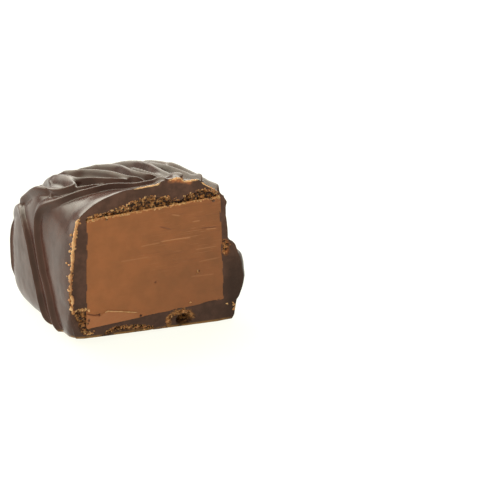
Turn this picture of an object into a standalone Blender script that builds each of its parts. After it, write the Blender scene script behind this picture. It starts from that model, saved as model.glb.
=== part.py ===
"""One half of an enrobed chocolate truffle bar, lying with its cut face to the front.

Metres, +Z up.  The origin is the middle of the flat underside.  The cut face looks along -Y,
and the closed, rounded end of the bar is at +Y.  Points on the coating are written as
(across, back, up) in millimetres, with back counted from the cut face.

Nodes: "coating", the dark chocolate shell with the ridges that the enrobing left on it, and
"filling", the block of milk chocolate ganache that it wraps.
"""
import math

import bmesh
import bpy
import numpy as np
from mathutils import Vector
from mathutils.bvhtree import BVHTree

MM = 0.001

# Base form of the coating: a superellipsoid, cut off at the front and at the base.
HALF_WIDTH = 12.6 * MM
MIDDLE_X = -0.5 * MM
LENGTH = 24.3 * MM
WAIST_Z = 8.8 * MM
RISE = 12.6 * MM
DROP = 9.6 * MM
SQUARENESS_PLAN_WAIST = 13.0
SQUARENESS_PLAN_TOP = 3.6
SQUARENESS_TOP = 4.2
SQUARENESS_FOOT_LEFT = 6.6
SQUARENESS_FOOT_RIGHT = 9.0
LEAN_PER_METRE = 6.0
DROOP = 0.38
DROOP_POWER = 3.0
CUT_Y = -0.5 * LENGTH

# Cells of the skin across, back and up, how far it runs on before the cut, how often it is
# smoothed, and the triangles that are left of it.
CELLS = (88, 74, 58)
RUN_ON = 0.03
SMOOTHINGS = 2
SKIN_TRIANGLES = 10200

# Filling block, how far it narrows on each side and drops towards its back, and the gap round it.
FILLING_WIDTH_TOP = 20.2 * MM
FILLING_WIDTH_BASE = 21.2 * MM
FILLING_BOTTOM_LEFT = 2.7 * MM
FILLING_BOTTOM_RIGHT = 3.4 * MM
FILLING_TOP_LEFT = 18.4 * MM
FILLING_TOP_RIGHT = 18.8 * MM
FILLING_DEPTH = 17.2 * MM
FILLING_TAPER = 2.2 * MM
FILLING_DROOP = 4.6 * MM
FILLING_EDGE = 0.7 * MM
GAP = 0.3 * MM

# The underside rises towards the left corner of the cut, from a line across that corner: where
# the line leaves the cut and the left wall, and the slope.
RISE_START_X = 7.0 * MM
RISE_START_BACK = 12.0 * MM
RISE_SLOPE = 0.082

# Blow hole in the cut, just over the underside: its middle, and its half sizes.
HOLE_X = 3.8 * MM
HOLE_Z = 1.45 * MM
HOLE_HALF_SIZE = (1.6 * MM, 2.2 * MM, 0.95 * MM)

# How far a ridge that crosses another is lifted by it, the fillet at its foot, and the length
# over which its ends fade out.
LIFT = 0.3
FILLET = 0.2 * MM
FADE = 2.5 * MM
STEPS_PER_SPAN = 6

# The ridges that the photograph's side shows, in the order in which they lie on one another:
# points along the crest, then the half width of the steep side, which is on the left as the
# ridge runs, the half width of the gentle side, and the height.  All in millimetres.
RIDGES = {
    "right_foot": ([(12.0, -9.0, 6.6), (12.0, 3.0, 6.6), (12.0, 8.0, 5.0)], 5.2, 6.8, 2.0),
    "top_6": ([(10.6, -3.0, 18.4), (9.4, 2.6, 19.6), (8.5, 7.5, 20.1), (7.2, 11.4, 20.0), (5.6, 16.0, 19.2),
               (5.0, 20.5, 17.2)], 1.0, 1.7, 0.95),
    "top_5": ([(7.2, -3.0, 20.8), (7.1, 2.2, 20.9), (6.3, 6.4, 21.0), (5.2, 10.0, 20.9), (4.4, 14.0, 20.0),
               (2.4, 18.6, 18.4)], 0.9, 1.5, 0.75),
    "top_4": ([(5.0, -3.0, 21.3), (3.8, 2.6, 21.3), (3.5, 6.4, 21.3), (3.6, 10.5, 20.9), (2.8, 15.0, 20.0),
               (0.0, 19.4, 18.0)], 1.1, 1.6, 1.3),
    "top_4_fold": ([(3.2, -1.0, 21.4), (3.1, 3.6, 21.3), (2.3, 7.6, 21.2), (1.2, 13.0, 20.5)], 0.7, 1.0, 0.6),
    "top_3": ([(3.0, 2.6, 21.4), (1.0, 4.2, 21.4), (-0.1, 7.2, 21.2), (-0.4, 12.0, 20.7), (-2.4, 15.8, 19.6),
               (-5.4, 18.6, 18.2)], 1.1, 1.9, 1.4),
    "top_2": ([(0.6, 2.4, 21.4), (-1.6, 5.0, 21.3), (-2.8, 8.4, 21.2), (-4.5, 12.4, 20.5), (-6.2, 15.2, 19.7),
               (-7.4, 19.0, 17.6)], 1.0, 1.7, 0.95),
    "top_1": ([(-0.8, 4.0, 21.4), (-3.6, 5.6, 21.3), (-5.5, 7.6, 21.1), (-7.3, 9.6, 20.7), (-7.6, 13.0, 20.0),
               (-8.2, 17.0, 18.2)], 0.9, 1.8, 0.8),
    "shoulder_loop": ([(-6.5, 23.5, 11.8), (-8.6, 20.8, 16.6), (-8.2, 16.0, 18.9), (-7.9, 11.4, 20.3),
                       (-8.5, 8.0, 20.6), (-9.9, 9.2, 19.6), (-10.7, 12.6, 18.5), (-11.3, 16.6, 17.0),
                       (-11.8, 20.8, 14.6)], 1.1, 1.4, 1.1),
    "branch": ([(-4.4, 6.0, 21.3), (-7.4, 6.3, 20.9), (-9.3, 8.4, 20.1), (-10.2, 10.4, 19.2),
                (-11.3, 10.6, 18.0)], 0.7, 1.2, 0.6),
    "long_front": ([(2.6, -3.0, 21.4), (1.5, 1.0, 21.4), (-1.3, 2.7, 21.4), (-4.4, 4.5, 21.3), (-7.7, 4.9, 20.9),
                    (-10.6, 7.4, 19.2), (-12.1, 11.4, 16.4), (-12.7, 11.6, 13.2), (-13.1, 9.5, 9.0),
                    (-13.1, 6.6, 5.0), (-12.9, 4.6, -1.0)], 0.85, 2.5, 0.85),
    "wall_fold": ([(-9.4, 24.0, 9.8), (-11.5, 23.4, 12.8), (-12.2, 19.6, 14.8), (-12.8, 15.8, 12.6),
                   (-13.1, 13.0, 8.6), (-13.0, 11.2, 5.2), (-12.7, 8.6, -1.0)], 0.8, 2.4, 0.8),
    "corner_rim": ([(-11.9, 23.7, 12.8), (-12.7, 23.2, 8.8), (-12.5, 23.2, 2.8)], 0.8, 0.9, 0.45),
}

# Ridges of the same kind go on over the sides that face away.  Each one repeats the first at a
# pitch and sways a little.
RIGHT_WALL_RIDGE = [(5.0, 12.0, 20.8), (8.6, 9.4, 20.1), (11.0, 6.6, 17.4), (11.9, 3.6, 12.3), (12.1, 1.4, 6.8),
                    (11.8, 0.2, -1.0)]
END_WALL_RIDGE = [(6.4, 14.5, 20.0), (7.2, 19.8, 18.2), (8.6, 23.0, 14.2), (9.6, 24.2, 9.4), (9.6, 24.2, 5.0),
                  (8.8, 24.0, -1.0)]
HIDDEN_RIDGES = 5
HIDDEN_PITCH = 4.1
HIDDEN_SWAY = 0.9
HIDDEN_SHAPE = (1.05, 2.1, 0.85)

SHARP_ANGLE = math.radians(50.0)

COLOURS = {
    "coating": ((0.045, 0.020, 0.012, 1.0), 0.35),
    "filling": ((0.290, 0.115, 0.046, 1.0), 0.60),
}


def clear_scene():
    """Remove every object that the file was opened with."""
    for thing in list(bpy.data.objects):
        bpy.data.objects.remove(thing, do_unlink=True)


def base_form(box):
    """Carry points of a box (across -1..1, back 0..1, up -1..1) to the base form."""
    across, back, up = np.abs(box).T
    above = box[:, 2] > 0.0
    corner = SQUARENESS_PLAN_WAIST
    corner += (SQUARENESS_PLAN_TOP - SQUARENESS_PLAN_WAIST) * np.where(above, up, 0.0) ** 2
    plan = (across ** corner + back ** corner) ** (1.0 / corner)
    foot = SQUARENESS_FOOT_LEFT
    foot += (SQUARENESS_FOOT_RIGHT - SQUARENESS_FOOT_LEFT) * 0.5 * (1.0 + box[:, 0])
    power = np.where(above, SQUARENESS_TOP, foot)
    reach = (plan ** power + up ** power) ** (-1.0 / power)
    droop = 1.0 - DROOP * (back * reach) ** DROOP_POWER
    height = np.where(above, RISE * droop, DROP) * box[:, 2] * reach
    half_width = HALF_WIDTH * (1.0 - LEAN_PER_METRE * np.maximum(height, 0.0))
    return np.stack([MIDDLE_X + half_width * box[:, 0] * reach,
                     CUT_Y + LENGTH * box[:, 1] * reach,
                     WAIST_Z + height], axis=1)


def box_grid():
    """A box open at the front, divided evenly into the skin's cells."""
    mesh = bmesh.new()
    bmesh.ops.create_cube(mesh, size=2.0)
    for vert in mesh.verts:
        vert.co.y = 1.0 if vert.co.y > 0.0 else -RUN_ON
    front = [face for face in mesh.faces if face.normal.y < -0.5]
    bmesh.ops.delete(mesh, geom=front, context="FACES_ONLY")
    for axis, cells in enumerate(CELLS):
        along = [edge for edge in mesh.edges
                 if abs(edge.verts[0].co[axis] - edge.verts[1].co[axis]) > 0.1]
        bmesh.ops.subdivide_edges(mesh, edges=along, cuts=cells - 1, use_grid_fill=True)
    return mesh


def hidden_ridges():
    """Ridges on the right wall, one behind the other, and on the closed end, side by side."""
    ridges = {}
    for number in range(HIDDEN_RIDGES):
        step = HIDDEN_PITCH * number
        right, end = [], []
        for place, (x, back, z) in enumerate(RIGHT_WALL_RIDGE):
            right.append((x, back + step + HIDDEN_SWAY * math.sin(2.1 * number + place), z))
        for place, (x, back, z) in enumerate(END_WALL_RIDGE):
            end.append((x - step + HIDDEN_SWAY * math.sin(1.7 * number + place), back, z))
        ridges["right_wall_%d" % (number + 1)] = (right, *HIDDEN_SHAPE)
        ridges["end_wall_%d" % (number + 1)] = (end, *HIDDEN_SHAPE)
    return ridges


def smooth_path(points):
    """A Catmull-Rom curve through the points, in metres and in the object's frame."""
    ends = [2 * np.array(points[0]) - np.array(points[1]), 2 * np.array(points[-1]) - np.array(points[-2])]
    knots = np.array([ends[0], *points, ends[1]]) * MM
    knots[:, 1] += CUT_Y
    path = []
    for before, start, end, after in zip(knots, knots[1:], knots[2:], knots[3:]):
        for step in range(STEPS_PER_SPAN):
            t = step / STEPS_PER_SPAN
            path.append(0.5 * (2 * start + (end - before) * t
                               + (2 * before - 5 * start + 4 * end - after) * t ** 2
                               + (3 * start - before - 3 * end + after) * t ** 3))
    path.append(knots[-2])
    return np.array(path)


def on_surface(path, surface):
    """Each point of a path moved to the nearest point of the base form."""
    return np.array([surface.find_nearest(Vector(point))[0] for point in path])


def ridge_height(points, normals, path, steep, gentle, height):
    """Height of one ridge over each point, negative away from it."""
    runs = path[1:] - path[:-1]
    lengths = np.maximum(np.linalg.norm(runs, axis=1), 1e-9)
    passed = np.concatenate([[0.0], np.cumsum(lengths)])
    nearest = np.full(len(points), np.inf)
    side = np.zeros(len(points))
    place = np.zeros(len(points))
    for start, run, length, before in zip(path, runs, lengths, passed):
        offset = points - start
        along = np.clip(offset @ run / length ** 2, 0.0, 1.0)
        away = offset - along[:, None] * run
        distance = np.linalg.norm(away, axis=1)
        nearer = distance < nearest
        nearest = np.where(nearer, distance, nearest)
        side = np.where(nearer, (np.cross(run, away) * normals).sum(axis=1), side)
        place = np.where(nearer, before + along * length, place)
    half_width = np.where(side > 0.0, steep, gentle) * MM
    to_end = np.minimum(place, passed[-1] - place)
    fade = 1.0 - (1.0 - np.clip(to_end / FADE, 0.0, 1.0)) ** 2
    return height * MM * (fade - (nearest / half_width) ** 2)


def smooth_maximum(first, second):
    """The larger of two heights, with a fillet where they meet."""
    blend = np.maximum(FILLET - np.abs(first - second), 0.0) / FILLET
    return np.maximum(first, second) + 0.25 * FILLET * blend ** 2


def add_ridges(mesh):
    """Raise the skin along its normals by the ridges, one laid over the other."""
    mesh.normal_update()
    surface = BVHTree.FromBMesh(mesh)
    points = np.array([vert.co for vert in mesh.verts])
    normals = np.array([vert.normal for vert in mesh.verts])
    normals[points[:, 1] < CUT_Y, 1] = 0.0
    raised = np.zeros(len(points))
    for crest, steep, gentle, height in (hidden_ridges() | RIDGES).values():
        path = on_surface(smooth_path(crest), surface)
        ridge = ridge_height(points, normals, path, steep, gentle, height)
        raised = smooth_maximum(raised, ridge + LIFT * raised)
    points += normals * raised[:, None]
    for vert, point in zip(mesh.verts, points):
        vert.co = point


def close_openings(mesh):
    """Close each open rim of the mesh, all of whose points lie in one plane, with one flat face."""
    bmesh.ops.holes_fill(mesh, edges=[edge for edge in mesh.edges if edge.is_boundary], sides=0)


def cut_flat(mesh, point, normal):
    """Cut the mesh off at a plane and close it there."""
    geometry = mesh.verts[:] + mesh.edges[:] + mesh.faces[:]
    bmesh.ops.bisect_plane(mesh, geom=geometry, dist=1e-6, plane_co=point, plane_no=normal, clear_outer=True)
    close_openings(mesh)


def make_object(name, mesh):
    """Turn a bmesh into an object."""
    data = bpy.data.meshes.new(name)
    mesh.to_mesh(data)
    mesh.free()
    thing = bpy.data.objects.new(name, data)
    bpy.context.scene.collection.objects.link(thing)
    return thing


def dress(thing):
    """Give an object its own material and smooth shading."""
    colour, roughness = COLOURS[thing.name]
    material = bpy.data.materials.new(thing.name)
    material.use_nodes = True
    shader = material.node_tree.nodes["Principled BSDF"]
    shader.inputs["Base Color"].default_value = colour
    shader.inputs["Roughness"].default_value = roughness
    thing.data.materials.clear()
    thing.data.materials.append(material)
    thing.data.shade_smooth()
    thing.data.set_sharp_from_angle(angle=SHARP_ANGLE)


def apply_modifiers(thing):
    """Put the evaluated mesh in place of the object's own."""
    bpy.context.view_layer.update()
    evaluated = thing.evaluated_get(bpy.context.evaluated_depsgraph_get())
    result = bpy.data.meshes.new_from_object(evaluated)
    thing.modifiers.clear()
    thing.data = result


def thin_out(thing, triangles):
    """Thin the mesh to a number of triangles, which stay dense where it bends."""
    modifier = thing.modifiers.new("thin out", "DECIMATE")
    modifier.ratio = triangles / sum(len(face.vertices) - 2 for face in thing.data.polygons)
    apply_modifiers(thing)


def cut_away(thing, cutter):
    """Subtract the cutter from an object, and drop the cutter."""
    cutter.hide_render = True
    cutter.display_type = "WIRE"
    modifier = thing.modifiers.new("cut away", "BOOLEAN")
    modifier.operation = "DIFFERENCE"
    modifier.solver = "EXACT"
    modifier.object = cutter
    apply_modifiers(thing)
    bpy.data.objects.remove(cutter, do_unlink=True)


def block(grow, front):
    """The filling's block from a front plane, grown all round and at the back by a gap."""
    half_top = 0.5 * FILLING_WIDTH_TOP + grow
    half_base = 0.5 * FILLING_WIDTH_BASE + grow
    corners = [(-half_base, FILLING_BOTTOM_LEFT - grow), (half_base, FILLING_BOTTOM_RIGHT - grow),
               (half_top, FILLING_TOP_RIGHT + grow), (-half_top, FILLING_TOP_LEFT + grow)]
    mesh = bmesh.new()
    face = mesh.faces.new([mesh.verts.new((x, front, z)) for x, z in corners])
    pushed = bmesh.ops.extrude_face_region(mesh, geom=[face])
    back = [item for item in pushed["geom"] if isinstance(item, bmesh.types.BMVert)]
    bmesh.ops.translate(mesh, verts=back, vec=(0.0, CUT_Y + FILLING_DEPTH + grow - front, 0.0))
    for vert in mesh.verts:
        share = (vert.co.y - CUT_Y) / FILLING_DEPTH
        vert.co.x -= math.copysign(1.0, vert.co.x) * FILLING_TAPER * share
        vert.co.z -= FILLING_DROOP * share if vert.co.z > WAIST_Z else 0.0
    edges = {edge for vert in back for edge in vert.link_edges}
    bmesh.ops.bevel(mesh, geom=list(edges), offset=FILLING_EDGE + grow, offset_type="OFFSET", segments=3,
                    profile=0.5, affect="EDGES", material=-1)
    bmesh.ops.recalc_face_normals(mesh, faces=mesh.faces)
    return mesh


def blow_hole():
    """The hollow that an air bubble left low in the cut."""
    mesh = bmesh.new()
    bmesh.ops.create_icosphere(mesh, subdivisions=2, radius=1.0)
    bmesh.ops.scale(mesh, verts=mesh.verts, vec=HOLE_HALF_SIZE)
    bmesh.ops.translate(mesh, verts=mesh.verts, vec=(HOLE_X, CUT_Y, HOLE_Z))
    return mesh


def raised_skin():
    """The whole outside of the coating, closed, and run on a little before the cut."""
    skin = box_grid()
    points = base_form(np.array([vert.co for vert in skin.verts]))
    for vert, point in zip(skin.verts, points):
        vert.co = point
    bmesh.ops.recalc_face_normals(skin, faces=skin.faces)
    add_ridges(skin)
    inside = [vert for vert in skin.verts if not vert.is_boundary]
    for _ in range(SMOOTHINGS):
        bmesh.ops.smooth_vert(skin, verts=inside, factor=0.5, use_axis_x=True, use_axis_y=True, use_axis_z=True)
    close_openings(skin)
    return skin


def build_coating():
    """The chocolate shell: its ridged outside, cut flat, with the filling's pocket and the hole."""
    coating = make_object("coating", raised_skin())
    thin_out(coating, SKIN_TRIANGLES)
    skin = bmesh.new()
    skin.from_mesh(coating.data)
    cut_flat(skin, (0.0, CUT_Y, 0.0), (0.0, -1.0, 0.0))
    cut_flat(skin, (0.0, 0.0, 0.0), (0.0, 0.0, -1.0))
    across, back = RISE_START_BACK, RISE_START_X + HALF_WIDTH
    steepness = RISE_SLOPE / math.hypot(across, back)
    cut_flat(skin, (RISE_START_X, CUT_Y, 0.0), (-across * steepness, -back * steepness, -1.0))
    bmesh.ops.recalc_face_normals(skin, faces=skin.faces)
    skin.to_mesh(coating.data)
    skin.free()
    cut_away(coating, make_object("pocket", block(GAP, CUT_Y - MM)))
    cut_away(coating, make_object("blow hole", blow_hole()))
    dress(coating)


def build_filling():
    """The block of ganache that the coating wraps, flush with it at the cut."""
    dress(make_object("filling", block(0.0, CUT_Y)))


def main():
    """Build the coating and its filling."""
    clear_scene()
    build_coating()
    build_filling()


if __name__ == "__main__":
    main()
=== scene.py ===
"""The look of one half of an enrobed chocolate truffle bar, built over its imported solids.

Metres, +Z up, in the frame of the solids: the cut face looks along -Y and the underside is at
z = 0.  Points on the coating are written as (across, back, up) in millimetres, with back counted
from the cut face, and places on the cut face as (across, up) in millimetres.
"""

import logging
import math
from collections.abc import Iterable, Mapping, Sequence
from dataclasses import dataclass, field
from enum import Enum

import bmesh
import bpy
import numpy as np
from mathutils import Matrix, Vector, noise
from mathutils.bvhtree import BVHTree


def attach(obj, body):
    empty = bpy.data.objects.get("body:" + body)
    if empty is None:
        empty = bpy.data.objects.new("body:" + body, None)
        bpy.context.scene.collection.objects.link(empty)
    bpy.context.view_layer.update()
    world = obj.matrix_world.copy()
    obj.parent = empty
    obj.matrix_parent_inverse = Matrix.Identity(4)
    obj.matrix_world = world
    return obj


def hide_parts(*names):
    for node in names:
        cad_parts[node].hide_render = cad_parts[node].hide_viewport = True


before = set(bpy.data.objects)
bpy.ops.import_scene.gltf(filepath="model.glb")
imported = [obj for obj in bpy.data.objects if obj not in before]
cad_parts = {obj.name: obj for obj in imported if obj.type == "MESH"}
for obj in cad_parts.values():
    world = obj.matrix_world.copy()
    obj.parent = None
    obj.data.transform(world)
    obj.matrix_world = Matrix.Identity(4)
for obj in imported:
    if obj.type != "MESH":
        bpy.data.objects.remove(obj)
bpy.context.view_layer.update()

MM = 0.001
LENGTH = 24.3 * MM
CUT_Y = -0.5 * LENGTH
HAIR = 1e-7
# To the left of RISE_START the underside rises by RISE_ACROSS for each metre.  Behind the cut the rise is
# less by RISE_BACK for each metre.
RISE_START = 9.5 * MM
RISE_ACROSS = 0.055
RISE_BACK = 0.100

Array = np.ndarray
Colour = tuple[float, float, float, float]
Place = tuple[float, float]
Point = tuple[float, float, float]
Span = tuple[float, float]

log = logging.getLogger("truffle")


# Shader graphs


class Value:
    """A number in a shader graph.  Python's operators on it add the Math nodes."""

    def __init__(self, graph: "Graph", socket: bpy.types.NodeSocket) -> None:
        """Wrap a socket.

        Args:
            graph: The graph that the socket belongs to.
            socket: The output socket that carries the value.
        """
        self.graph = graph
        self.socket = socket

    def __add__(self, other: "Number") -> "Value":
        """This value plus the other."""
        return self.graph.math("ADD", self, other)

    def __radd__(self, other: "Number") -> "Value":
        """The other value plus this one."""
        return self.graph.math("ADD", other, self)

    def __sub__(self, other: "Number") -> "Value":
        """This value less the other."""
        return self.graph.math("SUBTRACT", self, other)

    def __rsub__(self, other: "Number") -> "Value":
        """The other value less this one."""
        return self.graph.math("SUBTRACT", other, self)

    def __mul__(self, other: "Number") -> "Value":
        """This value times the other."""
        return self.graph.math("MULTIPLY", self, other)

    def __rmul__(self, other: "Number") -> "Value":
        """The other value times this one."""
        return self.graph.math("MULTIPLY", other, self)


Number = Value | float


class Graph:
    """A material or world under construction: its nodes, wired as expressions."""

    def __init__(self, owner: bpy.types.Material | bpy.types.World) -> None:
        """Start an empty graph.

        Args:
            owner: The material or world whose nodes are made.
        """
        owner.use_nodes = True
        self.owner = owner
        self.tree = owner.node_tree
        self.tree.nodes.clear()

    def node(self, kind: str, settings: Mapping[str, object] | None = None,
             sockets: Mapping[str | int, object] | None = None, output: str | int = 0) -> Value:
        """Add one node.

        Args:
            kind: The node's type, without its ShaderNode prefix.
            settings: Its own settings, set first.  "stops" are a ramp's (position, colour) pairs.
            sockets: What each input takes: a Value, or a plain number, colour or vector.
            output: The output that the result stands for.

        Returns:
            The node's output.
        """
        made = self.tree.nodes.new("ShaderNode" + kind)
        for name, setting in (settings or {}).items():
            if name == "stops":
                self._set_stops(made.color_ramp, setting)
            else:
                setattr(made, name, setting)
        for name, given in (sockets or {}).items():
            if isinstance(given, Value):
                self.tree.links.new(given.socket, made.inputs[name])
            else:
                made.inputs[name].default_value = given
        return Value(self, made.outputs[output]) if made.outputs else None

    @staticmethod
    def _set_stops(ramp: bpy.types.ColorRamp, stops: Sequence[tuple[float, Colour]]) -> None:
        """Give a ramp its stops.

        Args:
            ramp: The ramp, which has two stops as made.
            stops: (position, colour) pairs in order, two or more.
        """
        while len(ramp.elements) < len(stops):
            ramp.elements.new(1.0)
        for element, (position, colour) in zip(ramp.elements, stops):
            element.position = position
            element.color = colour

    def math(self, operation: str, *values: Number) -> Value:
        """A Math node on one to three values."""
        return self.node("Math", {"operation": operation}, dict(enumerate(values)))

    def step(self, value: Number, low: float, high: float) -> Value:
        """The value carried from low..high to 0..1, smoothly and held at both ends."""
        return self.node("MapRange", {"interpolation_type": "SMOOTHSTEP"},
                         {"Value": value, "From Min": low, "From Max": high})

    def masks(self, *masks: "Mask") -> list[Value]:
        """The numbers that the piece stores on its points or faces, by mask."""
        return [self.node("Attribute", {"attribute_name": mask.value}, output="Fac") for mask in masks]

    def place(self, scale: Point = (1.0, 1.0, 1.0), turn: Point = (0.0, 0.0, 0.0)) -> Value:
        """Object coordinates, turned and stretched."""
        where = self.node("TexCoord", output="Object")
        return self.node("Mapping", sockets={"Vector": where, "Rotation": turn, "Scale": scale})

    def along(self, axis: str) -> Value:
        """How far a point lies along an axis, in metres."""
        return self.node("SeparateXYZ", sockets={0: self.node("TexCoord", output="Object")}, output=axis)

    def noise(self, size: float, detail: float = 2.0, roughness: float = 0.5,
              at: Value | None = None) -> Value:
        """Soft noise.

        Args:
            size: Size of its features in metres.
            detail: Finer octaves on top.
            roughness: How strong the finer octaves are.
            at: Coordinates, or None for the piece's own.

        Returns:
            A value about 0.5 on average.
        """
        where = at or self.node("TexCoord", output="Object")
        return self.node("TexNoise", sockets={"Vector": where, "Scale": 1.0 / size, "Detail": detail,
                                              "Roughness": roughness})

    def mix(self, share: Number, low: "Value | Colour", high: "Value | Colour") -> Value:
        """A colour between two others."""
        return self.node("Mix", {"data_type": "RGBA"}, {0: share, 6: low, 7: high}, output=2)

    def bump(self, height: Value, distance: float, strength: float = 1.0) -> Value:
        """A bumped normal from a height of 0..1 that stands for a distance in metres."""
        return self.node("Bump", sockets={"Height": height, "Distance": distance, "Strength": strength})

    def surface(self, **sockets: object) -> bpy.types.Material:
        """Finish a material with a Principled shader.

        Args:
            **sockets: The shader's inputs, with _ for the spaces in their names.

        Returns:
            The material.
        """
        named = {name.replace("_", " "): given for name, given in sockets.items()}
        shader = self.node("BsdfPrincipled", sockets=named)
        self.node("OutputMaterial", sockets={"Surface": shader})
        return self.owner


def new_graph(name: str) -> Graph:
    """An empty graph in a new material."""
    return Graph(bpy.data.materials.new(name))


# Finishes


class Mask(Enum):
    """What the pieces store on their points or faces for the finishes to read."""

    CUT = "cut"
    POROUS = "porous"
    GOLD = "gold"
    TORN = "torn"
    # Where the glow of light shining through the broken rim is painted.
    THIN_GLOW = "thin_glow"
    FLAP = "flap"
    EDGE = "edge"
    TINT = "tint"
    SCORE = "score"
    GROOVE = "groove"


@dataclass(frozen=True)
class Mottle:
    """A soft noise: its size in metres, its finer octaves, and the values between which it counts."""

    size: float
    detail: float = 2.0
    roughness: float = 0.5
    edge: Span = (0.0, 1.0)

    def on(self, graph: Graph, at: Value | None = None) -> Value:
        """The noise itself, at the piece's own coordinates or at others."""
        return graph.noise(self.size, self.detail, self.roughness, at)

    def share(self, graph: Graph) -> Value:
        """The noise carried from its edge's two values to 0..1."""
        return graph.step(self.on(graph), *self.edge)


@dataclass(frozen=True)
class CoatingFinish:
    """Dark chocolate: glossy where it was poured, dull and crumbly where the knife went through.

    The spans of places are in metres across or up.  The foot's height counts from the underside.
    """

    poured: Colour = (0.045, 0.0158, 0.0108, 1.0)
    poured_light: Colour = (0.065, 0.0255, 0.0175, 1.0)
    cut_dark: Colour = (0.066, 0.028, 0.018, 1.0)
    cut_light: Colour = (0.108, 0.047, 0.031, 1.0)
    sheen: Colour = (0.97, 0.96, 0.80, 1.0)
    # Painted shade: pit is the dark put into the pores of the torn parts, low on the cut face and at the
    # shell's lower right.
    pit: Colour = (0.024, 0.008, 0.005, 1.0)
    crumb: Colour = (0.330, 0.135, 0.038, 1.0)
    crumb_bright: Colour = (0.580, 0.300, 0.110, 1.0)
    # Painted glow: the orange of light shining through the broken rim.
    thin_rim_glow: Colour = (0.560, 0.190, 0.060, 1.0)
    foot: Colour = (0.300, 0.150, 0.040, 1.0)
    patches: Mottle = Mottle(3.0 * MM, 3.0, edge=(0.35, 0.65))
    streaks: Mottle = Mottle(1.6 * MM, 4.0, 0.6, (0.35, 0.68))
    holes: Mottle = Mottle(0.42 * MM, 2.0, 0.6, (0.44, 0.60))
    grain: Mottle = Mottle(0.32 * MM, 3.0, 0.65, (0.45, 0.72))
    foot_patches: Mottle = Mottle(1.4 * MM, 2.0, edge=(0.30, 0.55))
    smudges: Mottle = Mottle(1.2 * MM, 3.0)
    waves: Mottle = Mottle(1.5 * MM, 2.0)
    gold_edge: Span = (0.30, 0.55)
    thin_glow_edge: Span = (0.35, 0.60)
    thin_glow_least: float = 0.35
    pale_up: Span = (2.0 * MM, 15.0 * MM)
    low_shade: float = 0.42
    right_across: Span = (10.4 * MM, 12.0 * MM)
    right_up: Span = (7.5 * MM, 10.5 * MM)
    right_shade: float = 0.7
    foot_up: Span = (0.12 * MM, 0.42 * MM)
    foot_share: float = 0.75
    gloss: float = 0.18
    smudging: float = 0.10
    cut_gloss: float = 0.62
    poured_grain: float = 0.08
    waviness: float = 0.6
    relief: float = 0.05 * MM

    def material(self) -> bpy.types.Material:
        """Make the material, which reads the masks CUT, POROUS, GOLD and THIN_GLOW.

        Returns:
            The material.
        """
        graph = new_graph("coating")
        cut, porous, gold, thin_glow = graph.masks(Mask.CUT, Mask.POROUS, Mask.GOLD, Mask.THIN_GLOW)
        across, back, up = (graph.along(axis) for axis in "XYZ")
        grain = self.grain.on(graph)
        poured = graph.mix(self.patches.share(graph), self.poured, self.poured_light)
        sliced = graph.mix(self.streaks.share(graph), self.cut_dark, self.cut_light)
        # Painted shade: the cut face darkens towards its foot.
        sliced = graph.mix((1.0 - graph.step(up, *self.pale_up)) * self.low_shade, sliced, self.pit)
        rims = graph.mix(graph.step(grain, *self.grain.edge), self.crumb, self.crumb_bright)
        colour = graph.mix(cut, poured, sliced)
        # Painted shade: the holes of the porous parts take the dark pit colour between golden crumbly rims.
        colour = graph.mix(porous, colour, graph.mix(self.holes.share(graph), self.pit, rims))
        colour = graph.mix(gold * graph.step(grain, *self.gold_edge), colour, rims)
        # Painted glow of light shining through the broken rim, broken up by the grain.
        showing = self.thin_glow_least + (1.0 - self.thin_glow_least) * graph.step(grain, *self.thin_glow_edge)
        colour = graph.mix(thin_glow * showing, colour, self.thin_rim_glow)
        underside = RISE_ACROSS * (RISE_START - across) - RISE_BACK * (back - CUT_Y)
        over_floor = up - graph.math("MAXIMUM", underside, 0.0)
        foot = (1.0 - graph.step(over_floor, *self.foot_up)) * self.foot_patches.share(graph)
        colour = graph.mix(foot * self.foot_share, colour, self.foot)
        # Painted shade: the shell darker at its lower right.
        lower_right = graph.step(across, *self.right_across) * (1.0 - graph.step(up, *self.right_up))
        colour = graph.mix(lower_right * self.right_shade, colour, self.pit)
        roughness = self.gloss + self.smudging * self.smudges.on(graph) + cut * (self.cut_gloss - self.gloss)
        grained = self.poured_grain + (1.0 - self.poured_grain) * cut
        height = grain * grained + self.waves.on(graph) * self.waviness
        return graph.surface(Base_Color=colour, Roughness=roughness, IOR=1.5, Specular_IOR_Level=0.30,
                             Specular_Tint=self.sheen, Normal=graph.bump(height, self.relief, 0.7))


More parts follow.
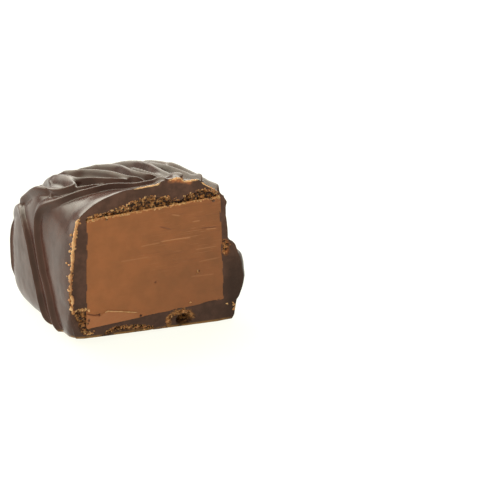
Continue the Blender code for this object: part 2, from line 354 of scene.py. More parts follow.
@dataclass(frozen=True)
class FillingFinish:
    """Milk chocolate ganache with the long fine scratches of a knife.

    The spans of places are in metres across or up.  A streak is a noise drawn out along the cut.
    """

    body: Colour = (0.283, 0.099, 0.027, 1.0)
    body_light: Colour = (0.350, 0.118, 0.034, 1.0)
    # The frayed top edge's golden colour, brightened as a painted highlight.
    tooth_and_highlight: Colour = (0.560, 0.250, 0.085, 1.0)
    # Painted light: the lifted flap is drawn lighter and more orange, as it tilts up to the light.
    flap: Colour = (0.380, 0.140, 0.052, 1.0)
    # groove also serves as the painted shade in the pits and the slit under the flap.
    groove: Colour = (0.130, 0.042, 0.018, 1.0)
    shade: Colour = (0.110, 0.040, 0.014, 1.0)
    scratch: Colour = (0.480, 0.210, 0.085, 1.0)
    clouds: Mottle = Mottle(3.0 * MM, 3.0, 0.6, (0.3, 0.7))
    grooves: Mottle = Mottle(0.26 * MM, 3.0, 0.6, (0.58, 0.70))
    hairlines: Mottle = Mottle(0.10 * MM, 2.0, 0.5, (0.60, 0.72))
    grain: Mottle = Mottle(0.5 * MM, 2.0)
    groove_stretch: float = 0.045
    groove_turn: float = math.radians(-4.0)
    hairline_stretch: float = 0.03
    hairline_turn: float = math.radians(-5.6)
    scored_across: Span = (-5.0 * MM, 4.0 * MM)
    scored_up: Span = (7.0 * MM, 12.0 * MM)
    shade_across: Span = (-12.0 * MM, 11.0 * MM)
    shade_up: Span = (9.0 * MM, 17.0 * MM)
    shade_share: float = 0.40
    roughness: float = 0.55
    relief: float = 0.05 * MM

    @staticmethod
    def streaks(graph: Graph, kind: Mottle, stretch: float, turn: float) -> Value:
        """A noise drawn out along the cut face and turned in it."""
        return kind.on(graph, graph.place((stretch, 1.0, 1.0), (0.0, turn, 0.0)))

    def material(self) -> bpy.types.Material:
        """Make the material, which reads the masks EDGE, FLAP, TORN, SCORE and GROOVE.

        Returns:
            The material.
        """
        graph = new_graph("filling")
        edge, flap, torn, score, groove = graph.masks(Mask.EDGE, Mask.FLAP, Mask.TORN, Mask.SCORE,
                                                      Mask.GROOVE)
        across, up = graph.along("X"), graph.along("Z")
        scored = graph.step(across, *self.scored_across) * graph.step(up, *self.scored_up)
        grooves = self.streaks(graph, self.grooves, self.groove_stretch, self.groove_turn)
        hairlines = self.streaks(graph, self.hairlines, self.hairline_stretch, self.hairline_turn)
        clouds = self.clouds.on(graph)
        colour = graph.mix(graph.step(clouds, *self.clouds.edge), self.body, self.body_light)
        # Painted light on the lifted flap.
        colour = graph.mix(flap * 0.7, colour, self.flap)
        # Painted shade: the filling darker towards the right, less so higher up.
        darker = graph.step(across, *self.shade_across) * (1.0 - 0.4 * graph.step(up, *self.shade_up))
        colour = graph.mix(darker * self.shade_share, colour, self.shade)
        deep = graph.step(grooves, *self.grooves.edge) * (0.06 + 0.22 * scored)
        bright = graph.step(hairlines, *self.hairlines.edge) * (0.05 + 0.40 * scored)
        # Painted highlight with the edge's own golden colour on the frayed teeth at the top (edge).
        # Painted shade in the pits and the slit under the flap (torn).
        for share, tone in ((deep, self.groove), (bright, self.scratch), (groove * 0.7, self.groove),
                            (score * 0.8, self.scratch), (torn, self.groove), (edge, self.tooth_and_highlight)):
            colour = graph.mix(share, colour, tone)
        height = grooves * (0.10 + 0.5 * scored) + hairlines * (0.1 + 0.4 * scored)
        height = height + self.grain.on(graph) * 0.15
        return graph.surface(Base_Color=colour, Roughness=self.roughness + 0.1 * clouds, IOR=1.45,
                             Specular_IOR_Level=0.35, Subsurface_Weight=0.12, Subsurface_Scale=0.5 * MM,
                             Subsurface_Radius=(1.0, 0.5, 0.25), Normal=graph.bump(height, self.relief, 0.6))


@dataclass(frozen=True)
class CrumbFinish:
    """Crumbs and smears of filling, from dark to golden by the tint that each one stores."""

    dark: Colour = (0.060, 0.024, 0.010, 1.0)
    golden: Colour = (0.410, 0.165, 0.045, 1.0)
    bright: Colour = (0.740, 0.430, 0.185, 1.0)
    speckle: Mottle = Mottle(0.18 * MM, 2.0, 0.6)
    speckling: float = 0.5
    roughness: float = 0.45
    relief: float = 0.04 * MM

    def material(self, name: str) -> bpy.types.Material:
        """Make the material, which reads the mask TINT.

        Args:
            name: The material's name.

        Returns:
            The material.
        """
        graph = new_graph(name)
        speckle = self.speckle.on(graph)
        tint = graph.masks(Mask.TINT)[0] + self.speckling * (speckle - 0.5)
        stops = [(0.0, self.dark), (0.5, self.golden), (1.0, self.bright)]
        colour = graph.node("ValToRGB", {"stops": stops}, {0: tint})
        return graph.surface(Base_Color=colour, Roughness=self.roughness + 0.2 * speckle, IOR=1.45,
                             Specular_IOR_Level=0.5, Subsurface_Weight=0.15, Subsurface_Scale=0.4 * MM,
                             Normal=graph.bump(speckle, self.relief))


# Shared form


def fractal(points: Array, size: float, octaves: int = 3) -> Array:
    """Smooth noise at points.

    Args:
        points: Points in metres, one a row.
        size: Size of the largest features, in metres.
        octaves: How many sizes are laid over one another.

    Returns:
        A number for each point, mostly between -1 and 1.
    """
    return np.array([noise.fractal(Vector(point) / size, 1.0, 2.0, octaves) for point in points])


def ramp(values: Array, low: float, high: float) -> Array:
    """Values carried from low..high to 0..1, smoothly and held at both ends."""
    share = np.clip((values - low) / (high - low), 0.0, 1.0)
    return share * share * (3.0 - 2.0 * share)


def positions(verts: Iterable[bmesh.types.BMVert]) -> Array:
    """The places of mesh points, one a row."""
    return np.array([vert.co for vert in verts])


def put(verts: Iterable[bmesh.types.BMVert], points: Array) -> None:
    """Move mesh points to new places."""
    for vert, point in zip(verts, points):
        vert.co = point


def on_sheet(where: Array, depth: float) -> Array:
    """Places on the cut as points of a flat sheet at some depth, to take noise from."""
    return np.stack([where[:, 0], np.full(len(where), depth), where[:, 1]], axis=1)


def add_masks(mesh: bmesh.types.BMesh, masks: Iterable[Mask]) -> None:
    """Make room for masks on the points of a mesh that has none yet."""
    for mask in masks:
        mesh.verts.layers.float.new(mask.value)


def store(mesh: bmesh.types.BMesh, mask: Mask, verts: Iterable[bmesh.types.BMVert],
          values: Iterable[float]) -> None:
    """Store a mask's values on mesh points."""
    layer = mesh.verts.layers.float[mask.value]
    for vert, value in zip(verts, values):
        vert[layer] = float(value)


@dataclass(frozen=True)
class Trail:
    """A line drawn on the cut face through places in millimetres across and up."""

    places: tuple[Place, ...]

    def distance(self, where: Array) -> Array:
        """How far each (across, up) row is from the line, in millimetres.

        Args:
            where: Places (across, up) in millimetres, one a row.

        Returns:
            Distances in millimetres.
        """
        line = np.array(self.places)
        nearest = np.full(len(where), np.inf)
        for start, end in zip(line, line[1:]):
            run = end - start
            share = np.clip((where - start) @ run / (run @ run), 0.0, 1.0)
            nearest = np.minimum(nearest, np.linalg.norm(where - start - share[:, None] * run, axis=1))
        return nearest

    def up_at(self, across: Array) -> Array:
        """The line's height over each place across, for a line that runs from left to right."""
        line = np.array(self.places)
        return np.interp(across, line[:, 0], line[:, 1])

    def passed(self) -> Array:
        """How much of the line has passed at each of its places."""
        return np.concatenate([[0.0], np.cumsum(np.linalg.norm(np.diff(self.places, axis=0), axis=1))])

    def at(self, share: Array) -> Array:
        """Places at shares of the line's length."""
        line, passed = np.array(self.places), self.passed()
        reached = share * passed[-1]
        return np.stack([np.interp(reached, passed, line[:, axis]) for axis in (0, 1)], axis=1)


@dataclass(frozen=True)
class Ridge:
    """A ridge that the enrobing left: its crest, its two half widths and its height, in millimetres.

    The steep side is on the left as the ridge runs.
    """

    crest: tuple[Point, ...]
    steep: float
    gentle: float
    height: float


RIDGES: Mapping[str, Ridge] = {
    "right_foot": Ridge(((12.0, -9.0, 6.6), (12.0, 3.0, 6.6), (12.0, 8.0, 5.0)), 8.6, 8.5, 2.0),
    "top_6": Ridge(((10.6, -3.0, 18.4), (9.4, 2.6, 19.6), (8.5, 7.5, 20.1), (7.2, 11.4, 20.0),
                    (5.6, 16.0, 19.2), (5.0, 20.5, 17.2)), 1.0, 1.7, 1.2),
    "top_5": Ridge(((7.2, -3.0, 20.8), (7.1, 2.2, 20.9), (6.3, 6.4, 21.0), (5.2, 10.0, 20.9),
                    (4.4, 14.0, 20.0), (2.4, 18.6, 18.4)), 0.9, 1.5, 1.2),
    "top_4": Ridge(((5.0, -3.0, 21.3), (3.8, 2.6, 21.3), (3.5, 6.4, 21.3), (3.6, 10.5, 20.9),
                    (2.8, 15.0, 20.0), (0.0, 19.4, 18.0)), 1.1, 1.6, 1.4),
    "top_4_fold": Ridge(((3.2, -1.0, 21.4), (3.1, 3.6, 21.3), (2.3, 7.6, 21.2), (1.2, 13.0, 20.5)), 0.7,
                        1.0, 0.85),
    "top_3": Ridge(((3.0, 2.6, 21.4), (1.0, 4.2, 21.4), (-0.1, 7.2, 21.2), (-0.4, 12.0, 20.7),
                    (-2.4, 15.8, 19.6), (-5.4, 18.6, 18.2)), 1.1, 1.9, 1.45),
    "top_2": Ridge(((0.6, 2.4, 21.4), (-1.6, 5.0, 21.3), (-2.8, 8.4, 21.2), (-4.5, 12.4, 20.5),
                    (-6.2, 15.2, 19.7), (-7.4, 19.0, 17.6)), 1.0, 1.7, 1.35),
    "top_1": Ridge(((-0.8, 4.0, 21.4), (-3.6, 5.6, 21.3), (-5.5, 7.6, 21.1), (-7.3, 9.6, 20.7),
                    (-7.6, 13.0, 20.0), (-8.2, 17.0, 18.2)), 0.9, 1.8, 1.15),
    "shoulder_loop": Ridge(((-6.5, 23.5, 11.8), (-8.6, 20.8, 16.6), (-8.2, 16.0, 18.9), (-7.9, 11.4, 20.3),
                            (-8.5, 8.0, 20.6), (-9.9, 9.2, 19.6), (-10.7, 12.6, 18.5), (-11.3, 16.6, 17.0),
                            (-11.8, 20.8, 14.6)), 1.1, 1.4, 1.1),
    "branch": Ridge(((-4.4, 6.0, 21.3), (-7.4, 6.3, 20.9), (-9.3, 8.4, 20.1), (-10.2, 10.4, 19.2),
                     (-11.3, 10.6, 18.0)), 0.7, 1.2, 0.75),
    "long_front": Ridge(((2.6, -3.0, 21.4), (1.5, 1.0, 21.4), (-1.3, 2.7, 21.4), (-4.4, 4.5, 21.3),
                         (-7.7, 4.9, 20.9), (-10.6, 7.4, 19.2), (-12.1, 11.4, 16.4), (-12.7, 11.6, 13.2),
                         (-13.1, 9.5, 9.0), (-13.1, 6.6, 5.0), (-12.9, 4.6, -1.0)), 0.85, 1.6, 0.80),
    "wall_fold": Ridge(((-9.4, 24.0, 9.8), (-11.5, 23.4, 12.8), (-12.2, 19.6, 14.8), (-12.8, 15.8, 12.6),
                        (-13.1, 13.0, 8.6), (-13.0, 11.2, 5.2), (-12.7, 8.6, -1.0)), 0.8, 1.5, 0.75),
    "corner_rim": Ridge(((-11.9, 23.7, 12.8), (-12.7, 23.2, 8.8), (-12.5, 23.2, 2.8)), 0.8, 0.9, 0.45),
}
RIGHT_WALL_CREST: tuple[Point, ...] = ((5.0, 12.0, 20.8), (8.6, 9.4, 20.1), (11.0, 6.6, 17.4),
                                       (11.9, 3.6, 12.3), (12.1, 1.4, 6.8), (11.8, 0.2, -1.0))
END_WALL_CREST: tuple[Point, ...] = ((6.4, 14.5, 20.0), (7.2, 19.8, 18.2), (8.6, 23.0, 14.2),
                                     (9.6, 24.2, 9.4), (9.6, 24.2, 5.0), (8.8, 24.0, -1.0))


@dataclass(frozen=True)
class BarForm:
    """The bar's own form, a superellipsoid with a drooping end, and the ridges over it.

    The form's sizes are metres.  The hidden ridges' pitch, sway and section are millimetres, as the crests
    are, and their turns are angles in radians from one ridge to the next.
    """

    half_width: float = 12.6 * MM
    middle_x: float = -0.5 * MM
    length: float = LENGTH
    waist_z: float = 8.8 * MM
    rise: float = 12.25 * MM
    drop: float = 9.6 * MM
    plan_waist: float = 13.0
    plan_top: float = 3.6
    top_squareness: float = 4.2
    foot_left: float = 6.6
    foot_right: float = 9.0
    lean_per_metre: float = 6.0
    droop: float = 0.38
    droop_power: float = 3.0
    lift: float = 0.18
    fillet: float = 0.2 * MM
    fade: float = 2.5 * MM
    near_side: float = 0.47
    near_power: float = 2.0
    far_side: float = 0.80
    far_power: float = 1.3
    steps_per_span: int = 6
    hidden_ridges: int = 5
    hidden_pitch: float = 4.1
    hidden_sway: float = 0.9
    hidden_turns: Span = (2.1, 1.7)
    hidden_section: Point = (1.05, 2.1, 0.85)
    reach: float = 3.0

    def base(self, box: Array) -> Array:
        """Carry points of a box to the bar's form without its ridges.

        Args:
            box: Points with across in -1..1, back in 0..1 and up in -1..1.

        Returns:
            Points in metres.
        """
        across, back, up = np.abs(box).T
        above = box[:, 2] > 0.0
        corner = self.plan_waist + (self.plan_top - self.plan_waist) * np.where(above, up, 0.0) ** 2
        plan = (across ** corner + back ** corner) ** (1.0 / corner)
        foot = self.foot_left + (self.foot_right - self.foot_left) * 0.5 * (1.0 + box[:, 0])
        power = np.where(above, self.top_squareness, foot)
        reach = (plan ** power + up ** power) ** (-1.0 / power)
        droop = 1.0 - self.droop * (back * reach) ** self.droop_power
        height = np.where(above, self.rise * droop, self.drop) * box[:, 2] * reach
        half_width = self.half_width * (1.0 - self.lean_per_metre * np.maximum(height, 0.0))
        return np.stack([self.middle_x + half_width * box[:, 0] * reach,
                         CUT_Y + self.length * box[:, 1] * reach, self.waist_z + height], axis=1)

    def ridges(self) -> list[Ridge]:
        """Every ridge, from the lowest laid to the last.

        Returns:
            The ridges.
        """
        ridges = []
        for number in range(self.hidden_ridges):
            step = self.hidden_pitch * number
            right = tuple((x, back + step + self.sway(0, number, place), z)
                          for place, (x, back, z) in enumerate(RIGHT_WALL_CREST))
            end = tuple((x - step + self.sway(1, number, place), back, z)
                        for place, (x, back, z) in enumerate(END_WALL_CREST))
            ridges += [Ridge(crest, *self.hidden_section) for crest in (right, end)]
        return ridges + list(RIDGES.values())

    def sway(self, wall: int, number: int, place: int) -> float:
        """How far a hidden ridge of a wall strays sideways at one of its places, in millimetres."""
        return self.hidden_sway * math.sin(self.hidden_turns[wall] * number + place)

    def path(self, crest: Sequence[Point], surface: BVHTree) -> Array:
        """A smooth curve through a ridge's points, laid on the surface.

        Args:
            crest: The ridge's points, in millimetres.
            surface: The form that the ridge lies on.

        Returns:
            Points in metres, one a row.
        """
        ends = [2 * np.array(crest[0]) - np.array(crest[1]), 2 * np.array(crest[-1]) - np.array(crest[-2])]
        knots = np.array([ends[0], *crest, ends[1]]) * MM
        knots[:, 1] += CUT_Y
        path = []
        for before, start, end, after in zip(knots, knots[1:], knots[2:], knots[3:]):
            for step in range(self.steps_per_span):
                t = step / self.steps_per_span
                path.append(0.5 * (2 * start + (end - before) * t
                                   + (2 * before - 5 * start + 4 * end - after) * t ** 2
                                   + (3 * start - before - 3 * end + after) * t ** 3))
        path.append(knots[-2])
        return np.array([surface.find_nearest(Vector(point))[0] for point in path])

    def ridge_height(self, points: Array, normals: Array, path: Array, ridge: Ridge) -> Array:
        """How high one ridge stands over each point.

        Args:
            points: Points of the surface.
            normals: The surface's normals there.
            path: The ridge's crest.
            ridge: The ridge's section.

        Returns:
            Heights in metres, negative away from the ridge.
        """
        runs = path[1:] - path[:-1]
        lengths = np.maximum(np.linalg.norm(runs, axis=1), 1e-9)
        passed = np.concatenate([[0.0], np.cumsum(lengths)])
        reach = self.reach * max(ridge.steep, ridge.gentle) * MM
        box_low, box_high = path.min(axis=0) - reach, path.max(axis=0) + reach
        near = np.all((points > box_low) & (points < box_high), axis=1)
        here, normal = points[near], normals[near]
        nearest = np.full(len(here), np.inf)
        side = np.zeros(len(here))
        place = np.zeros(len(here))
        for start, run, length, before in zip(path, runs, lengths, passed):
            offset = here - start
            along = np.clip(offset @ run / length ** 2, 0.0, 1.0)
            away = offset - along[:, None] * run
            distance = np.linalg.norm(away, axis=1)
            nearer = distance < nearest
            nearest = np.where(nearer, distance, nearest)
            side = np.where(nearer, (np.cross(run, away) * normal).sum(axis=1), side)
            place = np.where(nearer, before + along * length, place)
        half_width = np.where(side > 0.0, self.near_side * ridge.steep, self.far_side * ridge.gentle) * MM
        power = np.where(side > 0.0, self.near_power, self.far_power)
        to_end = np.minimum(place, passed[-1] - place)
        fade = 1.0 - (1.0 - np.clip(to_end / self.fade, 0.0, 1.0)) ** 2
        height = np.full(len(points), -1.0)
        height[near] = ridge.height * MM * (fade - (nearest / half_width) ** power)
        return height

    def raise_ridges(self, mesh: bmesh.types.BMesh) -> None:
        """Raise a skin along its normals by the ridges, one laid over the other.

        Args:
            mesh: The skin.
        """
        mesh.normal_update()
        surface = BVHTree.FromBMesh(mesh)
        points = positions(mesh.verts)
        normals = np.array([vert.normal for vert in mesh.verts])
        normals[points[:, 1] < CUT_Y, 1] = 0.0
        raised = np.zeros(len(points))
        for ridge in self.ridges():
            height = self.ridge_height(points, normals, self.path(ridge.crest, surface), ridge)
            height = height + self.lift * raised
            blend = np.maximum(self.fillet - np.abs(raised - height), 0.0) / self.fillet
            raised = np.maximum(raised, height) + 0.25 * self.fillet * blend ** 2
        put(mesh.verts, points + normals * raised[:, None])


@dataclass(frozen=True)
class Pocket:
    """The four-sided outline in which the cut shows the filling, in metres."""

    width_top: float = 20.2 * MM
    width_base: float = 21.2 * MM
    bottom_left: float = 2.7 * MM
    bottom_right: float = 3.4 * MM
    top_left: float = 18.4 * MM
    top_right: float = 18.8 * MM
    depth: float = 17.2 * MM
    taper: float = 2.2 * MM
    droop: float = 4.6 * MM

    def corners(self, grow: float) -> list[Place]:
        """The outline's corners (x, z) from the lower left one, counterclockwise, grown all round."""
        half_top, half_base = 0.5 * self.width_top + grow, 0.5 * self.width_base + grow
        return [(-half_base, self.bottom_left - grow), (half_base, self.bottom_right - grow),
                (half_top, self.top_right + grow), (-half_top, self.top_left + grow)]

    def reached(self, start: Array, grow: float) -> Array:
        """Where the rays from the outline's middle through some points leave the outline.

        Args:
            start: Points (x, z), one a row.
            grow: How far the outline is grown.

        Returns:
            Points (x, z) on the outline.
        """
        corners = np.array(self.corners(grow))
        middle = corners.mean(axis=0)
        rays = start - middle
        share = np.full(len(rays), np.inf)
        for first, second in zip(corners, np.roll(corners, -1, axis=0)):
            side = second - first
            outward = np.array([side[1], -side[0]])
            speed = rays @ outward
            leaving = ((first - middle) @ outward) / np.maximum(speed, 1e-12)
            share = np.where(speed > 1e-12, np.minimum(share, leaving), share)
        return middle + rays * share[:, None]


POCKET = Pocket()
WAIST = BarForm().waist_z


# Marks on the cut face


CUT_OUTLINE = Trail(((-13.1, 5.0), (-13.15, 8.1), (-12.95, 10.2), (-12.6, 12.8), (-12.4, 14.6),
                     (-12.1, 16.7), (-11.75, 18.4), (-11.2, 19.2), (-10.2, 19.95), (-9.2, 20.6),
                     (-8.2, 21.05), (-6.7, 21.5), (-5.2, 21.85), (-3.1, 22.0), (-1.3, 22.05), (0.5, 22.1),
                     (1.0, 22.4), (1.8, 22.57), (2.7, 22.65), (4.0, 22.55), (4.6, 22.0), (5.2, 21.94),
                     (6.0, 21.95), (6.9, 21.85), (7.3, 21.45), (8.0, 20.9), (8.9, 20.3), (9.3, 19.95),
                     (10.0, 19.55), (10.8, 18.7), (11.3, 17.9), (11.1, 17.2), (11.1, 15.9), (11.3, 14.4),
                     (11.4, 12.6), (11.6, 12.2), (12.2, 11.8), (12.6, 11.3), (12.9, 10.4), (13.3, 9.2),
                     (13.55, 8.3), (13.7, 7.2), (13.9, 6.2), (13.7, 5.0), (13.5, 4.1), (13.2, 3.3),
                     (12.8, 2.8), (12.65, 2.1), (12.5, 1.4), (12.4, 0.6), (12.1, 0.1), (11.4, -0.4),
                     (11.0, -0.9)))
BAND_TOP = Trail(((-10.3, 18.8), (-9.6, 18.9), (-8.7, 19.05), (-6.7, 19.3), (-4.5, 19.7), (-2.7, 20.4),
                  (-1.1, 20.55), (0.9, 20.3), (2.1, 20.1), (2.7, 19.6), (3.9, 19.3), (4.9, 19.8),
                  (6.4, 20.2), (7.8, 20.4), (9.1, 19.8), (9.8, 19.1)))
BAND_BOTTOM = Trail(((-10.4, 18.4), (10.1, 18.8)))
BAND_MIDDLE = Trail(((-9.9, 18.6), (-6.0, 18.9), (-2.0, 19.5), (0.0, 19.6), (4.0, 19.1), (6.5, 19.6),
                     (9.5, 19.2)))
RIM_LINE = Trail(((-11.55, 18.9), (-12.1, 16.8), (-12.38, 14.6), (-12.55, 12.85), (-12.75, 11.4)))
RIM_LOW_LINE = Trail(((-12.75, 11.4), (-12.95, 9.6), (-13.05, 8.0), (-12.9, 6.2), (-12.7, 5.4)))
LOW_STRIP = Trail(((-7.6, 1.5), (-6.2, 1.75), (-4.4, 1.55), (-2.6, 1.3), (-0.7, 0.9)))
CORNER_PIT = Trail(((-11.6, 4.8), (-11.0, 3.9), (-10.9, 2.7)))
PIT_TOP = Trail(((-12.2, 5.3), (-11.4, 5.6), (-10.6, 5.4)))
PIT_FOOT = Trail(((-11.1, 2.0), (-10.5, 1.75), (-9.9, 1.9)))
CORNER_LINE = Trail(((-13.4, 5.6), (-12.9, 4.0), (-12.2, 2.7), (-11.1, 1.7), (-9.9, 1.0), (-8.0, 0.6),
                     (-6.0, -1.0)))
FLAP_LINE = Trail(((-10.8, 4.8), (-8.64, 4.35), (-8.1, 4.5), (-7.4, 4.65), (-5.6, 4.25), (-2.9, 3.6),
                   (-1.0, 2.9)))
FLAP_SLIT = Trail(((-10.45, 4.7), (-9.6, 4.4), (-8.7, 4.3)))
HOLE_RIM = Trail(((1.9, 0.9), (2.0, 1.9), (2.7, 2.4), (4.0, 2.5), (5.2, 2.2), (5.7, 1.5)))
RIGHT_SPOT = Trail(((10.9, 11.9), (11.15, 11.2), (11.1, 10.4)))
RIGHT_FOOT = Trail(((12.25, 2.4), (12.4, 1.9), (12.3, 1.3)))
RIGHT_SPECK = Trail(((11.2, 2.45), (11.35, 2.4)))
BROKEN_RIM = Trail(((2.4, 22.4), (3.3, 22.5), (4.3, 22.1), (5.5, 21.7)))
RIGHT_CORNER = Trail(((9.0, 20.3), (9.7, 19.5), (9.9, 18.9)))
SCORES: Mapping[Mask, tuple[tuple[Trail, float], ...]] = {
    Mask.SCORE: ((Trail(((0.75, 13.58), (3.07, 13.57), (5.73, 13.44))), 1.0),
                 (Trail(((7.78, 14.31), (9.83, 14.16))), 0.9), (Trail(((5.7, 15.73), (7.2, 15.71))), 0.8),
                 (Trail(((2.5, 17.33), (4.1, 16.9))), 0.8), (Trail(((-2.33, 13.35), (0.9, 13.45))), 0.5),
                 (Trail(((6.18, 11.49), (9.81, 11.49))), 0.45), (Trail(((6.63, 9.6), (9.8, 9.67))), 0.35),
                 (Trail(((5.35, 7.55), (9.31, 7.32))), 0.35), (Trail(((-5.42, 11.63), (-0.83, 11.61))),
                                                               0.35)),
    Mask.GROOVE: ((Trail(((0.6, 15.9), (2.63, 15.14))), 0.9), (Trail(((6.99, 14.58), (9.83, 14.43))), 0.9)),
}


@dataclass(frozen=True)
class CutRelief:
    """What the knife tore open in the shell's cut face: how deep it is, and how crumbly.

    Sizes are millimetres.
    """

    band_depth: float = 0.75
    band_edge: float = 0.3
    band_ends: Span = (-10.4, 10.0)
    hole_middle: Place = (4.35, 1.30)
    hole_half_size: Place = (1.25, 0.72)
    hole_depth: float = 1.5
    wander: float = 0.16
    wander_size: float = 0.7
    tear_size: float = 0.55
    softness: float = 0.05
    soft_size: float = 1.8

    def masks(self, where: Array) -> dict[Mask, Array]:
        """How porous and how golden the cut is at each place, and where the glow of light through its broken
        rim is painted.

        Args:
            where: Places (across, up) in millimetres, one a row.

        Returns:
            A share from 0 to 1 for each place, by mask.
        """
        wander = self.wander * fractal(on_sheet(where, 0.0), self.wander_size, 2)

        def beside(trail: Trail, reach: float, edge: float) -> Array:
            """How near each place is to a line, 1 on it and 0 from its reach on."""
            return ramp(reach - trail.distance(where) + wander, 0.0, edge)

        top = BAND_TOP.up_at(where[:, 0]) - where[:, 1] + wander
        bottom = where[:, 1] - BAND_BOTTOM.up_at(where[:, 0]) + self.band_edge
        inside = np.minimum(where[:, 0] - self.band_ends[0], self.band_ends[1] - where[:, 0])
        band = ramp(np.minimum(np.minimum(top, bottom), inside), 0.0, self.band_edge)
        spot = beside(RIGHT_SPOT, 0.60, 0.3)
        around_hole = beside(HOLE_RIM, 0.50, 0.3)
        low_rim = ramp(0.26 - RIM_LOW_LINE.distance(where) + 1.5 * wander, 0.0, 0.2)
        porous = (band, beside(CORNER_PIT, 1.0, 0.4), beside(LOW_STRIP, 0.40, 0.25), spot, self.hole(where),
                  0.8 * around_hole)
        return {
            Mask.POROUS: np.maximum.reduce(porous),
            Mask.GOLD: np.maximum.reduce([beside(RIM_LINE, 0.34, 0.2), 0.7 * low_rim, 0.6 * around_hole]),
            # Painted glow of light through the broken top rim; the same orange also lies on the crumbly right
            # spot.
            Mask.THIN_GLOW: np.maximum(beside(BROKEN_RIM, 0.45, 0.4), 0.8 * spot),
        }

    def hole(self, where: Array) -> Array:
        """How far each place is inside the blow hole, 1 well inside it."""
        away = (where - np.array(self.hole_middle)) / np.array(self.hole_half_size)
        return ramp(1.08 - np.linalg.norm(away, axis=1), 0.0, 0.35)

    def depth(self, where: Array, masks: Mapping[Mask, Array]) -> Array:
        """How far back the surface lies at each place, in millimetres.

        Args:
            where: Places (across, up) in millimetres, one a row.
            masks: The masks at the same places.

        Returns:
            Depths in millimetres, 0 where the knife left the face flat.
        """
        sheet = on_sheet(where, 5.0)
        rough = 0.55 + 0.6 * fractal(sheet, self.tear_size, 3)
        torn = self.band_depth * masks[Mask.POROUS] * np.clip(rough, 0.05, 1.3)
        soft = self.softness * (1.0 + fractal(sheet, self.soft_size, 3))
        return torn + soft + self.hole_depth * self.hole(where)


# Pieces


def close_openings(mesh: bmesh.types.BMesh) -> None:
    """Close each open rim of a mesh with one flat face."""
    bmesh.ops.holes_fill(mesh, edges=[edge for edge in mesh.edges if edge.is_boundary], sides=0)


def slice_off(mesh: bmesh.types.BMesh, point: Point, normal: Point) -> None:
    """Cut away what lies on a plane's outer side."""
    geometry = mesh.verts[:] + mesh.edges[:] + mesh.faces[:]
    bmesh.ops.bisect_plane(mesh, geom=geometry, dist=HAIR, plane_co=point, plane_no=normal, clear_outer=True)


def finish_piece(name: str, mesh: bmesh.types.BMesh, material: bpy.types.Material,
                 smooth_angle: float = math.radians(60.0)) -> bpy.types.Object:
    """Turn a mesh under construction into a piece that rides on the object.

    Args:
        name: The piece's name.
        mesh: Its mesh, which is used up.
        material: Its material.
        smooth_angle: Edges sharper than this stay sharp.

    Returns:
        The piece.
    """
    data = bpy.data.meshes.new(name)
    mesh.to_mesh(data)
    mesh.free()
    data.materials.append(material)
    data.shade_smooth()
    data.set_sharp_from_angle(angle=smooth_angle)
    piece = bpy.data.objects.new(name, data)
    bpy.context.scene.collection.objects.link(piece)
    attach(piece, "root")
    return piece


def report(piece: bpy.types.Object) -> None:
    """Log one piece's size in triangles."""
    triangles = sum(len(face.vertices) - 2 for face in piece.data.polygons)
    log.info("%s: %d triangles", piece.name, triangles)


